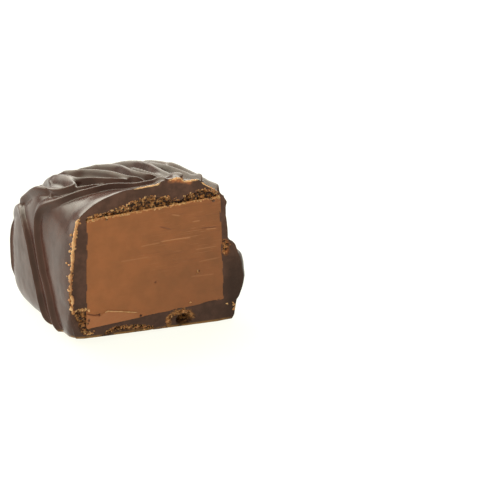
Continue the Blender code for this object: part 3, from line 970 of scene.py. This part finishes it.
@dataclass
class Coating:
    """The dark chocolate shell.

    The skin is a box of some cells across, back and up, bent to the bar's form.  The steps that shape it
    follow one another in the order of build.  Sizes are metres, and outline_end is an angle in radians.
    """

    form: BarForm = field(default_factory=BarForm)
    relief: CutRelief = field(default_factory=CutRelief)
    finish: CoatingFinish = field(default_factory=CoatingFinish)
    cells: tuple[int, int, int] = (168, 146, 106)
    run_on: float = 0.03
    smoothings: int = 2
    wave: float = 0.08 * MM
    wave_size: float = 5.0 * MM
    ripple: float = 0.018 * MM
    ripple_size: float = 1.3 * MM
    ring_cuts: int = 15
    outline_reach: float = 3.5 * MM
    outline_end: float = 0.12
    middle_z: float = 10.0 * MM
    cap_start: float = 22.5 * MM
    cap_room: float = 0.5 * MM
    lip: float = 0.12 * MM
    gap: float = 0.15 * MM
    pocket_step: float = 0.6 * MM
    corner_radius: float = 2.6 * MM
    corner_top: float = 6.5 * MM
    corner_least: float = 0.01 * MM
    corner_wall: float = -13.1 * MM
    corner_tuck: float = 0.25 * MM
    tuck_top: float = 2.0 * MM
    swell: float = 0.20 * MM
    swell_place: float = 2.8 * MM
    swell_end: float = 8.96 * MM
    swell_left: Span = (10.5 * MM, 12.3 * MM)
    swell_foot: Span = (1.0 * MM, 5.0 * MM)
    swell_top: Span = (14.0 * MM, 19.0 * MM)
    shoulder: Point = (-11.0 * MM, 14.0 * MM, 17.8 * MM)
    shoulder_size: float = 4.0 * MM
    shoulder_swell: float = 1.0 * MM
    shoulder_way: Point = (-0.6, 0.0, 0.8)

    def build(self) -> bpy.types.Object:
        """Build the shell and dress it.

        Returns:
            The piece, which stands for the solid coating.
        """
        mesh = self.skin()
        self.cut_face(mesh)
        self.mark_cut(mesh)
        self.round_corner(mesh)
        self.swell_wall(mesh)
        self.swell_shoulder(mesh)
        self.underside(mesh)
        piece = finish_piece("coating_shell", mesh, self.finish.material())
        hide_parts("coating")
        return piece

    def skin(self) -> bmesh.types.BMesh:
        """The shell's outside, open at the cut.

        Returns:
            The skin, which ends at the cut.
        """
        mesh = bmesh.new()
        add_masks(mesh, (Mask.POROUS, Mask.GOLD, Mask.THIN_GLOW))
        mesh.faces.layers.float.new(Mask.CUT.value)
        bmesh.ops.create_cube(mesh, size=2.0)
        for vert in mesh.verts:
            vert.co.y = 1.0 if vert.co.y > 0.0 else -self.run_on
        front = [face for face in mesh.faces if face.normal.y < -0.5]
        bmesh.ops.delete(mesh, geom=front, context="FACES_ONLY")
        for axis, cells in enumerate(self.cells):
            along = [edge for edge in mesh.edges
                     if abs(edge.verts[0].co[axis] - edge.verts[1].co[axis]) > 0.1]
            bmesh.ops.subdivide_edges(mesh, edges=along, cuts=cells - 1, use_grid_fill=True)
        put(mesh.verts, self.form.base(positions(mesh.verts)))
        bmesh.ops.recalc_face_normals(mesh, faces=mesh.faces)
        self.form.raise_ridges(mesh)
        self.ripple_skin(mesh)
        inside = [vert for vert in mesh.verts if not vert.is_boundary]
        for _ in range(self.smoothings):
            bmesh.ops.smooth_vert(mesh, verts=inside, factor=0.5, use_axis_x=True, use_axis_y=True,
                                  use_axis_z=True)
        slice_off(mesh, (0.0, CUT_Y, 0.0), (0.0, -1.0, 0.0))
        self.fit_outline(mesh)
        return mesh

    def fit_outline(self, mesh: bmesh.types.BMesh) -> None:
        """Carry the skin near the cut to the outline that the cut shows.

        Args:
            mesh: The skin.
        """
        rim = positions(vert for vert in mesh.verts if vert.is_boundary)
        angle, reach = self.polar(rim)
        order = np.argsort(angle)
        outline = np.array(CUT_OUTLINE.places) * MM
        goal_angle, goal_reach = self.polar(np.stack([outline[:, 0], outline[:, 0], outline[:, 1]], axis=1))
        goal_order = np.argsort(goal_angle)
        points = positions(mesh.verts)
        angle_here, _ = self.polar(points)
        has = np.interp(angle_here, angle[order], reach[order])
        wants = np.interp(angle_here, goal_angle[goal_order], goal_reach[goal_order])
        low, high = goal_angle.min(), goal_angle.max()
        held = (angle_here > low) * np.clip((high - angle_here) / self.outline_end, 0.0, 1.0)
        near = held * (1.0 - ramp(points[:, 1] - CUT_Y, 0.0, self.outline_reach))
        factor = 1.0 + (wants / has - 1.0) * near
        points[:, 0] *= factor
        points[:, 2] = self.middle_z + (points[:, 2] - self.middle_z) * factor
        over = np.maximum(points[:, 2] - self.cap_start, 0.0)
        points[:, 2] += self.cap_room * (1.0 - np.exp(-over / self.cap_room)) - over
        put(mesh.verts, points)

    def polar(self, points: Array) -> tuple[Array, Array]:
        """Angles round the cut's middle, counted from the right and from -90 degrees on, and distances."""
        across, up = points[:, 0], points[:, 2] - self.middle_z
        angle = np.arctan2(up, across)
        return np.where(angle < -0.5 * math.pi, angle + 2.0 * math.pi, angle), np.hypot(across, up)

    def ripple_skin(self, mesh: bmesh.types.BMesh) -> None:
        """Give the poured skin the slight unevenness of chocolate that set as it ran.

        Args:
            mesh: The skin.
        """
        mesh.normal_update()
        points = positions(mesh.verts)
        normals = np.array([vert.normal for vert in mesh.verts])
        rise = self.wave * fractal(points, self.wave_size, 2)
        rise = rise + self.ripple * fractal(points, self.ripple_size, 2)
        put(mesh.verts, points + normals * rise[:, None])

    def round_corner(self, mesh: bmesh.types.BMesh) -> None:
        """Round the shell's upright corner left of the cut, more and more towards its foot.

        Args:
            mesh: The shell so far.
        """
        points = positions(mesh.verts)
        radius = self.corner_radius * ramp(self.corner_top - points[:, 2], 0.0, self.corner_top)
        wall = self.corner_wall + self.corner_tuck * ramp(self.tuck_top - points[:, 2], 0.0, self.tuck_top)
        away = np.stack([points[:, 0] - wall - radius, points[:, 1] - CUT_Y - radius], axis=1)
        inside = np.all(away < 0.0, axis=1) & (radius > self.corner_least)
        long = np.linalg.norm(away, axis=1)
        pulled = away * (np.max(np.abs(away), axis=1) / np.maximum(long, 1e-9))[:, None]
        points[inside, 0] += (pulled - away)[inside, 0]
        points[inside, 1] += (pulled - away)[inside, 1]
        put(mesh.verts, points)

    def swell_wall(self, mesh: bmesh.types.BMesh) -> None:
        """Swell the left wall a little behind the cut, so that it turns in towards the rim.

        Args:
            mesh: The shell so far.
        """
        points = positions(mesh.verts)
        back = points[:, 1] - CUT_Y
        rise = np.where(back < self.swell_place, 1.0 - (1.0 - back / self.swell_place) ** 2,
                        1.0 - ramp(back, self.swell_place, self.swell_end))
        wall = ramp(-points[:, 0], *self.swell_left) * ramp(points[:, 2], *self.swell_foot)
        wall *= 1.0 - ramp(points[:, 2], *self.swell_top)
        points[:, 0] -= self.swell * np.clip(rise, 0.0, 1.0) * wall
        put(mesh.verts, points)

    def swell_shoulder(self, mesh: bmesh.types.BMesh) -> None:
        """Swell the left shoulder where the ridges run together.

        Args:
            mesh: The shell so far.
        """
        points = positions(mesh.verts)
        away = (points - np.array(self.shoulder) - np.array((0.0, CUT_Y, 0.0))) / self.shoulder_size
        rise = self.shoulder_swell * np.exp(-(away ** 2).sum(axis=1))
        put(mesh.verts, points + rise[:, None] * np.array(self.shoulder_way))

    def cut_face(self, mesh: bmesh.types.BMesh) -> None:
        """Add the ring that the knife cut through the shell, and the pocket behind it.

        Args:
            mesh: The skin, which ends at the cut.
        """
        rim = {vert for edge in mesh.edges if edge.is_boundary for vert in edge.verts}
        inner = self.extrude_rim(mesh, -self.lip)
        spokes = [edge for vert in inner for edge in vert.link_edges if edge.other_vert(vert) in rim]
        layer = mesh.faces.layers.float[Mask.CUT.value]
        for face in {face for edge in spokes for face in edge.link_faces}:
            face[layer] = 1.0
        bmesh.ops.subdivide_edges(mesh, edges=spokes, cuts=self.ring_cuts, use_grid_fill=True)
        ring = [vert for vert in mesh.verts if abs(vert.co.y - CUT_Y) < HAIR]
        points = positions(ring)
        places = points[:, [0, 2]] / MM
        masks = self.relief.masks(places)
        for mask, values in masks.items():
            store(mesh, mask, ring, values)
        points[:, 1] += self.relief.depth(places, masks) * MM * np.array([vert not in rim for vert in ring])
        put(ring, points)
        for vert in {vert for edge in mesh.edges if edge.is_boundary for vert in edge.verts}:
            vert.co.y = CUT_Y + self.lip
        for back in (self.pocket_step, POCKET.depth + self.gap):
            inner = self.extrude_rim(mesh, self.gap)
            points = positions(inner)
            share = back / POCKET.depth
            points[:, 0] -= np.sign(points[:, 0]) * POCKET.taper * share
            points[:, 2] -= np.where(points[:, 2] > WAIST, POCKET.droop * share, 0.0)
            points[:, 1] = CUT_Y + back
            put(inner, points)
        close_openings(mesh)

    @staticmethod
    def extrude_rim(mesh: bmesh.types.BMesh, grow: float) -> list[bmesh.types.BMVert]:
        """Extrude the open rim by one row of faces, to the filling's outline.

        Args:
            mesh: The mesh.
            grow: How far that outline is grown.

        Returns:
            The new row's points.
        """
        open_edges = [edge for edge in mesh.edges if edge.is_boundary]
        made = bmesh.ops.extrude_edge_only(mesh, edges=open_edges)["geom"]
        row = [item for item in made if isinstance(item, bmesh.types.BMVert)]
        points = positions(row)
        points[:, [0, 2]] = POCKET.reached(points[:, [0, 2]], grow)
        put(row, points)
        return row

    def underside(self, mesh: bmesh.types.BMesh) -> None:
        """Cut the shell flat underneath, with a slight rise towards the left corner of the cut.

        Args:
            mesh: The shell so far.
        """
        for point, normal in (((0.0, 0.0, 0.0), (0.0, 0.0, -1.0)),
                              ((RISE_START, CUT_Y, 0.0), (-RISE_ACROSS, -RISE_BACK, -1.0))):
            slice_off(mesh, point, normal)
            close_openings(mesh)
        bmesh.ops.recalc_face_normals(mesh, faces=mesh.faces)

    @staticmethod
    def mark_cut(mesh: bmesh.types.BMesh) -> None:
        """Take the mark of the knife off the faces below the rounded corner.

        Args:
            mesh: The shell so far.
        """
        layer = mesh.faces.layers.float[Mask.CUT.value]
        for face in mesh.faces:
            if face[layer] > 0.5:
                middle = face.calc_center_median() / MM
                face[layer] = 1.0 if middle.z > CORNER_LINE.up_at(np.array([middle.x]))[0] else 0.0


@dataclass
class Filling:
    """The block of ganache that the coating wraps.

    The sizes from pit_depth on are millimetres on the cut, as are the places and radii of the pits.
    """

    finish: FillingFinish = field(default_factory=FillingFinish)
    grow: float = 0.15 * MM
    edge: float = 0.25 * MM
    long_edge: float = 5.0 * MM
    across_cells: int = 160
    up_cells: int = 210
    pits: tuple[tuple[Place, float], ...] = (((0.0, 7.65), 0.17), ((-2.37, 3.05), 0.22), ((6.8, 8.2), 0.16),
                                             ((-8.72, 4.3), 0.24))
    pit_depth: float = 0.2
    slit_width: float = 0.14
    fray: float = 0.12
    fray_swing: float = 0.35
    flap_end: float = -1.8
    flap_lift: float = 0.10
    flap_swing: float = 0.05
    hollow: float = 0.05
    hollow_swing: float = 0.03
    score_depth: float = 0.05
    score_edge: Span = (0.03, 0.13)
    score_taper: float = 0.5

    def build(self) -> bpy.types.Object:
        """Build the block and dress it.

        Returns:
            The piece, which stands for the solid filling.
        """
        mesh = self.block()
        self.sculpt(mesh)
        piece = finish_piece("filling_block", mesh, self.finish.material())
        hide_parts("filling")
        return piece

    def block(self) -> bmesh.types.BMesh:
        """The block, with a fine grid on its cut face.

        Returns:
            The block, whole and with the masks at 0.
        """
        mesh = bmesh.new()
        add_masks(mesh, (Mask.EDGE, Mask.FLAP, Mask.TORN, *SCORES))
        face = mesh.faces.new([mesh.verts.new((x, CUT_Y, z)) for x, z in POCKET.corners(self.grow)])
        pushed = bmesh.ops.extrude_face_region(mesh, geom=[face])
        back = [item for item in pushed["geom"] if isinstance(item, bmesh.types.BMVert)]
        bmesh.ops.translate(mesh, verts=back, vec=(0.0, POCKET.depth, 0.0))
        for vert in back:
            vert.co.x -= math.copysign(POCKET.taper, vert.co.x)
            vert.co.z -= POCKET.droop if vert.co.z > WAIST else 0.0
        edges = {edge for vert in back for edge in vert.link_edges}
        bmesh.ops.bevel(mesh, geom=list(edges), offset=self.edge, offset_type="OFFSET", segments=2,
                        profile=0.5, affect="EDGES", material=-1)
        bmesh.ops.recalc_face_normals(mesh, faces=mesh.faces)
        for axis, cells in ((0, self.across_cells), (2, self.up_cells)):
            along = [edge for edge in mesh.edges if all(vert.co.y < CUT_Y + HAIR for vert in edge.verts)
                     and abs(edge.verts[0].co[axis] - edge.verts[1].co[axis]) > self.long_edge]
            bmesh.ops.subdivide_edges(mesh, edges=along, cuts=cells - 1, use_grid_fill=True)
        return mesh

    def scored(self, scores: Iterable[tuple[Trail, float]], where: Array) -> Array:
        """How strongly the knife scored each place.

        Args:
            scores: The scratches, as lines that run to the right, and their strengths.
            where: Places (across, up) in millimetres, one a row.

        Returns:
            A share from 0 to 1 for each place.
        """
        share = np.zeros(len(where))
        for trail, strength in scores:
            to_end = np.minimum(where[:, 0] - trail.places[0][0], trail.places[-1][0] - where[:, 0])
            line = 1.0 - ramp(trail.distance(where), *self.score_edge)
            share = np.maximum(share, strength * ramp(to_end, 0.0, self.score_taper) * line)
        return share

    def sculpt(self, mesh: bmesh.types.BMesh) -> None:
        """Fray the block's edge at the cut, and press the flap, pits and scratches into its face.

        Args:
            mesh: The block.
        """
        front = [vert for vert in mesh.verts if vert.co.y < CUT_Y + HAIR]
        points = positions(front)
        where = points[:, [0, 2]] / MM
        sheet = on_sheet(where, 2.0)
        top = BAND_BOTTOM.up_at(where[:, 0]) - where[:, 1]
        below = FLAP_LINE.up_at(where[:, 0]) - where[:, 1]
        pits = np.zeros(len(where))
        for (across, up), radius in self.pits:
            pits = np.maximum(pits, 1.0 - np.hypot(where[:, 0] - across, where[:, 1] - up) / radius)
        slit = ramp(self.slit_width - FLAP_SLIT.distance(where), 0.0, self.slit_width)
        masks = {
            Mask.EDGE: ramp(self.fray + self.fray_swing * fractal(sheet, 0.35, 2) - top, 0.0, 0.15),
            Mask.FLAP: ramp(below, -0.05, 0.10) * ramp(self.flap_end - where[:, 0], 0.0, 2.5),
            Mask.TORN: np.maximum(ramp(pits, 0.0, 0.5), slit),
            **{mask: self.scored(scores, where) for mask, scores in SCORES.items()},
        }
        for mask, values in masks.items():
            store(mesh, mask, front, values)
        lift = masks[Mask.FLAP] * (self.flap_lift + self.flap_swing * fractal(sheet, 0.9, 3))
        lift -= self.pit_depth * masks[Mask.TORN]
        lift -= self.score_depth * (masks[Mask.SCORE] + masks[Mask.GROOVE])
        points[:, 1] += (self.hollow + self.hollow_swing * fractal(sheet, 2.5, 2) - lift) * MM
        put(front, points)


@dataclass(frozen=True)
class CrumbPatch:
    """Where crumbs lie on the cut: round which line, how many, how big, how golden and how deep in it.

    The spread across and up and the radius are millimetres.  How deep is a share of the radius.
    """

    trail: Trail
    count: int
    spread: Place
    radius: Span
    tint: Span
    sunk: float = 0.4


PATCHES: Mapping[str, CrumbPatch] = {
    "band": CrumbPatch(BAND_MIDDLE, 130, (0.5, 0.30), (0.06, 0.26), (-0.25, 0.55)),
    "band_left": CrumbPatch(Trail(((-9.8, 18.7), (-3.5, 19.1))), 40, (0.4, 0.16), (0.12, 0.32), (0.25, 0.95)),
    "band_top": CrumbPatch(BAND_TOP, 90, (0.15, 0.07), (0.08, 0.20), (0.25, 0.90)),
    "teeth": CrumbPatch(BAND_BOTTOM, 150, (0.10, 0.08), (0.07, 0.18), (0.45, 0.95), 0.2),
    "pit": CrumbPatch(CORNER_PIT, 55, (0.45, 0.40), (0.08, 0.22), (-0.10, 0.45)),
    "pit_top": CrumbPatch(PIT_TOP, 34, (0.15, 0.14), (0.09, 0.22), (0.50, 0.90)),
    "pit_foot": CrumbPatch(PIT_FOOT, 26, (0.15, 0.12), (0.08, 0.19), (0.45, 0.85)),
    "right_pit": CrumbPatch(Trail(((6.55, 8.4), (6.75, 7.9))), 8, (0.10, 0.10), (0.08, 0.15), (0.15, 0.75),
                            0.1),
    "base_edge": CrumbPatch(Trail(((5.2, 3.6), (5.5, 3.75))), 4, (0.05, 0.05), (0.08, 0.14), (0.50, 0.90),
                            0.1),
    "strip": CrumbPatch(LOW_STRIP, 90, (0.20, 0.16), (0.07, 0.17), (0.25, 0.80)),
    "hole": CrumbPatch(HOLE_RIM, 80, (0.22, 0.15), (0.07, 0.18), (0.15, 0.75)),
    "spot": CrumbPatch(RIGHT_SPOT, 60, (0.22, 0.26), (0.12, 0.28), (-0.10, 0.70)),
    "right_foot": CrumbPatch(RIGHT_FOOT, 16, (0.12, 0.15), (0.08, 0.18), (0.45, 0.85), 0.2),
    "right_speck": CrumbPatch(RIGHT_SPECK, 3, (0.04, 0.04), (0.10, 0.16), (0.80, 1.0), 0.2),
    "rim": CrumbPatch(RIM_LINE, 60, (0.13, 0.25), (0.10, 0.24), (0.55, 0.95), 0.1),
    "rim_low": CrumbPatch(RIM_LOW_LINE, 34, (0.09, 0.25), (0.10, 0.26), (0.20, 0.85), 0.1),
    "corner": CrumbPatch(RIGHT_CORNER, 34, (0.22, 0.20), (0.07, 0.19), (0.25, 0.75)),
    "broken_rim": CrumbPatch(BROKEN_RIM, 16, (0.25, 0.06), (0.07, 0.15), (0.70, 1.0)),
}


@dataclass
class Crumbs:
    """The crumbs that lie in the pits of the cut and along its edges."""

    surface: BVHTree
    patches: Mapping[str, CrumbPatch] = field(default_factory=lambda: PATCHES)
    finish: CrumbFinish = field(default_factory=CrumbFinish)
    seed: int = 11
    uneven: float = 0.35
    dents: Span = (0.8, 1.2)
    ray_start: float = 5.0 * MM
    deepest: float = 2.2 * MM

    def build(self) -> bpy.types.Object:
        """Build all the crumbs as one piece and dress it.

        Returns:
            The piece.
        """
        chance = np.random.default_rng(self.seed)
        mesh = bmesh.new()
        add_masks(mesh, (Mask.TINT,))
        for patch in self.patches.values():
            middles = patch.trail.at(chance.random(patch.count))
            middles = middles + chance.normal(0.0, 1.0, middles.shape) * np.array(patch.spread)
            for across, up in middles:
                radius = chance.uniform(*patch.radius) * MM
                back = self.depth(across * MM, up * MM)
                if back is not None:
                    place = Vector((across * MM, back + patch.sunk * radius, up * MM))
                    self.lump(mesh, place, radius, chance.uniform(*patch.tint), chance)
        return finish_piece("crumbs", mesh, self.finish.material("crumbs"))

    def depth(self, x: float, z: float) -> float | None:
        """How far back the surface lies at a place of the cut, or None beside it."""
        start = Vector((x, CUT_Y - self.ray_start, z))
        hit = self.surface.ray_cast(start, Vector((0.0, 1.0, 0.0)), self.ray_start + self.deepest)[0]
        return None if hit is None else hit.y

    def lump(self, mesh: bmesh.types.BMesh, place: Vector, radius: float, tint: float,
             chance: np.random.Generator) -> None:
        """Add one uneven lump.

        Args:
            mesh: The crumbs' mesh.
            place: The lump's middle.
            radius: Its mean radius.
            tint: How golden it is.
            chance: The source of its unevenness.
        """
        made = bmesh.ops.create_icosphere(mesh, subdivisions=1, radius=radius)["verts"]
        stretch = chance.uniform(1.0 - self.uneven, 1.0 + self.uneven, 3)
        for vert in made:
            vert.co *= chance.uniform(*self.dents)
        store(mesh, Mask.TINT, made, np.full(len(made), tint))
        bmesh.ops.scale(mesh, verts=made, vec=stretch)
        bmesh.ops.translate(mesh, verts=made, vec=place)


@dataclass(frozen=True)
class SmearLine:
    """One smear: its line, its half thickness and how far back it lies in millimetres, and its look."""

    trail: Trail
    thickness: float
    tint: float
    uneven: float
    back: float


SMEARS: Mapping[str, SmearLine] = {
    "left_rim": SmearLine(RIM_LINE, 0.21, 0.62, 0.85, 0.02),
    "left_rim_low": SmearLine(Trail(((-12.75, 11.3), (-12.95, 10.6), (-12.9, 9.6), (-12.95, 8.2))), 0.19,
                              0.45, 0.9, 0.05),
    "left_rim_foot": SmearLine(Trail(((-12.95, 8.2), (-12.8, 7.6), (-12.7, 7.0), (-12.8, 6.2))), 0.16, 0.62,
                               0.8, 0.0),
    "left_rim_blob": SmearLine(Trail(((-13.1, 6.4), (-12.95, 5.9), (-12.75, 5.5))), 0.26, 0.92, 0.3, 0.0),
    "top_rim": SmearLine(Trail(((-3.2, 21.93), (-1.3, 22.0), (0.5, 22.05), (0.85, 22.2), (1.0, 22.42))),
                         0.085, 0.95, 0.35, 0.06),
    "right_rim": SmearLine(Trail(((7.15, 21.5), (8.0, 20.85), (8.9, 20.3), (9.3, 19.95))), 0.09, 0.95, 0.6,
                           0.04),
    "broken_rim": SmearLine(Trail(((2.5, 22.45), (3.3, 22.6), (4.0, 22.5), (4.6, 21.9), (5.4, 21.9),
                                   (6.9, 21.85))), 0.10, 0.95, 0.6, 0.02),
    "flap_edge": SmearLine(Trail(((-8.1, 4.45), (-7.4, 4.62), (-5.6, 4.25), (-2.9, 3.62))), 0.07, 0.80, 0.6,
                           0.02),
}


@dataclass
class RimSmears:
    """The golden smears that the knife drew along the edges of the cut.

    Its taper, and the step from one smear's noise to the next one's, are millimetres.
    """

    lines: Mapping[str, SmearLine] = field(default_factory=lambda: SMEARS)
    finish: CrumbFinish = field(default_factory=lambda: CrumbFinish(golden=(0.430, 0.185, 0.060, 1.0)))
    stations_per_mm: float = 9.0
    sides: int = 10
    taper: float = 0.6
    end_size: float = 0.15
    least_stations: int = 8
    apart: float = 3.7
    swell: Span = (0.25, 2.0)
    lumpiness: float = 0.45
    lump_size: float = 0.35 * MM
    tint_swing: float = 0.22
    tint_size: float = 0.8 * MM
    side_shade: float = 0.20

    def build(self) -> bpy.types.Object:
        """Build the smears as lumpy ropes and dress them.

        Returns:
            The piece.
        """
        mesh = bmesh.new()
        add_masks(mesh, (Mask.TINT,))
        for number, line in enumerate(self.lines.values()):
            self.rope(mesh, line, number)
        bmesh.ops.recalc_face_normals(mesh, faces=mesh.faces)
        return finish_piece("rim_smears", mesh, self.finish.material("rim_smears"))

    def rings(self, mesh: bmesh.types.BMesh, count: int) -> list[list[bmesh.types.BMVert]]:
        """Rings of points, each joined to the next by faces and all in one place.

        Args:
            mesh: The smears' mesh.
            count: How many rings.

        Returns:
            The points, ring by ring.
        """
        rings = [bmesh.ops.create_circle(mesh, cap_ends=False, segments=self.sides, radius=MM)["verts"]]
        loop = list({edge for vert in rings[0] for edge in vert.link_edges})
        for _ in range(count - 1):
            made = bmesh.ops.extrude_edge_only(mesh, edges=loop)["geom"]
            rings.append([item for item in made if isinstance(item, bmesh.types.BMVert)])
            loop = [item for item in made if isinstance(item, bmesh.types.BMEdge)]
        return rings

    def rope(self, mesh: bmesh.types.BMesh, line: SmearLine, number: int) -> None:
        """Draw one smear: rings of points carried along its line, closed at both ends.

        Args:
            mesh: The smears' mesh.
            line: The smear.
            number: Its number, which sets its unevenness apart.
        """
        length = line.trail.passed()[-1]
        stations = max(self.least_stations, int(length * self.stations_per_mm))
        share = np.linspace(0.0, 1.0, stations)
        swing = np.stack([share * length, np.full(stations, self.apart * number), np.zeros(stations)], axis=1)
        to_end = np.minimum(share, 1.0 - share) * length
        radius = line.thickness * np.clip(1.0 + line.uneven * fractal(swing, 1.0, 3), *self.swell)
        radius = radius * (self.end_size + (1.0 - self.end_size) * ramp(to_end, 0.0, self.taper))
        where = line.trail.at(share) * MM
        middles = np.stack([where[:, 0], np.full(stations, CUT_Y + line.back * MM), where[:, 1]], axis=1)
        rings = self.rings(mesh, stations)
        for ring, middle, size, run in zip(rings, middles, radius, np.gradient(middles, axis=0)):
            turn = Vector((0.0, 0.0, 1.0)).rotation_difference(Vector(run)).to_matrix()
            bmesh.ops.scale(mesh, verts=ring, vec=(size, size, 1.0))
            bmesh.ops.rotate(mesh, verts=ring, cent=(0.0, 0.0, 0.0), matrix=turn)
            bmesh.ops.translate(mesh, verts=ring, vec=middle)
        close_openings(mesh)
        verts = [vert for ring in rings for vert in ring]
        points, middle = positions(verts), np.repeat(middles, self.sides, axis=0)
        points += (points - middle) * (self.lumpiness * fractal(points, self.lump_size, 2))[:, None]
        put(verts, points)
        tint = line.tint + self.tint_swing * fractal(points, self.tint_size, 2)
        tint -= self.side_shade * (points[:, 0] - middle[:, 0]) / (line.thickness * MM)
        store(mesh, Mask.TINT, verts, tint)


@dataclass
class Studio:
    """A plain pale floor, soft light from the left, from behind and from the front left, and the camera.

    The light's spans are shares of a direction that point left, back, up or to the front.
    """

    aim: Point = (15.09 * MM, CUT_Y, 9.86 * MM)
    azimuth: float = math.radians(-27.17)
    elevation: float = math.radians(19.98)
    distance: float = 320.17 * MM
    lens: float = 159.95
    sensor: float = 36.0
    floor_size: float = 1.6
    floor_tone: Colour = (0.16, 0.16, 0.16, 1.0)
    floor_glow: float = 0.94
    room: float = 0.55
    warmth: Colour = (0.985, 0.985, 0.89, 1.0)
    left_window: float = 0.42
    back_screen: float = 5.40
    front_fill: float = 0.30
    left_from: Span = (0.45, 0.85)
    back_from: Span = (0.05, 0.62)
    back_up: Span = (0.10, 0.46)
    top_up: Span = (0.84, 0.98)
    front_from: Span = (0.15, 0.75)
    front_left: Span = (-0.30, 0.40)
    seen: Span = (0.01, 10.0)

    def build(self) -> None:
        """Build the floor, the lights and the camera."""
        self.floor()
        self.world()
        self.camera()
        bpy.context.scene.view_settings.view_transform = "Standard"

    def floor(self) -> None:
        """Lay the floor."""
        mesh = bmesh.new()
        bmesh.ops.create_grid(mesh, x_segments=2, y_segments=2, size=0.5 * self.floor_size)
        data = bpy.data.meshes.new("floor")
        mesh.to_mesh(data)
        mesh.free()
        graph = new_graph("floor")
        data.materials.append(graph.surface(Base_Color=self.floor_tone, Roughness=0.9, Specular_IOR_Level=0.0,
                                            Emission_Color=self.warmth, Emission_Strength=self.floor_glow))
        floor = bpy.data.objects.new("floor", data)
        bpy.context.scene.collection.objects.link(floor)

    def world(self) -> None:
        """Light the room: evenly, and more from the left, from behind and from the front left."""
        world = bpy.data.worlds.new("studio")
        bpy.context.scene.world = world
        graph = Graph(world)
        direction = graph.node("TexCoord", output="Generated")
        across, behind, up = (graph.node("SeparateXYZ", sockets={0: direction}, output=axis)
                              for axis in "XYZ")
        below_top = 1.0 - graph.step(up, *self.top_up)
        left = graph.step(-1.0 * across, *self.left_from) * below_top
        back = graph.step(behind, *self.back_from) * graph.step(up, *self.back_up) * below_top
        front = graph.step(-1.0 * behind, *self.front_from) * graph.step(-1.0 * across, *self.front_left)
        level = self.room + self.left_window * left + self.back_screen * back + self.front_fill * front
        shader = graph.node("Background", sockets={"Color": self.warmth, "Strength": level})
        graph.node("OutputWorld", sockets={"Surface": shader})

    def camera(self) -> None:
        """Set the camera at the photograph's viewing angle."""
        back = Vector((math.sin(self.azimuth) * math.cos(self.elevation),
                       -math.cos(self.azimuth) * math.cos(self.elevation), math.sin(self.elevation)))
        data = bpy.data.cameras.new("camera")
        data.lens = self.lens
        data.sensor_width = self.sensor
        data.clip_start, data.clip_end = self.seen
        camera = bpy.data.objects.new("camera", data)
        camera.location = Vector(self.aim) + back * self.distance
        camera.rotation_euler = back.to_track_quat("Z", "Y").to_euler()
        bpy.context.scene.collection.objects.link(camera)
        bpy.context.scene.camera = camera


def main() -> None:
    """Build the truffle's pieces and the studio, in order."""
    logging.basicConfig(level=logging.INFO, format="%(message)s")
    shell = Coating().build()
    block = Filling().build()
    face = bmesh.new()
    face.from_mesh(shell.data)
    face.from_mesh(block.data)
    surface = BVHTree.FromBMesh(face)
    face.free()
    smear = RimSmears().build()
    crumbs = Crumbs(surface).build()
    for piece in (shell, block, smear, crumbs):
        report(piece)
    Studio().build()


if __name__ == "__main__":
    main()
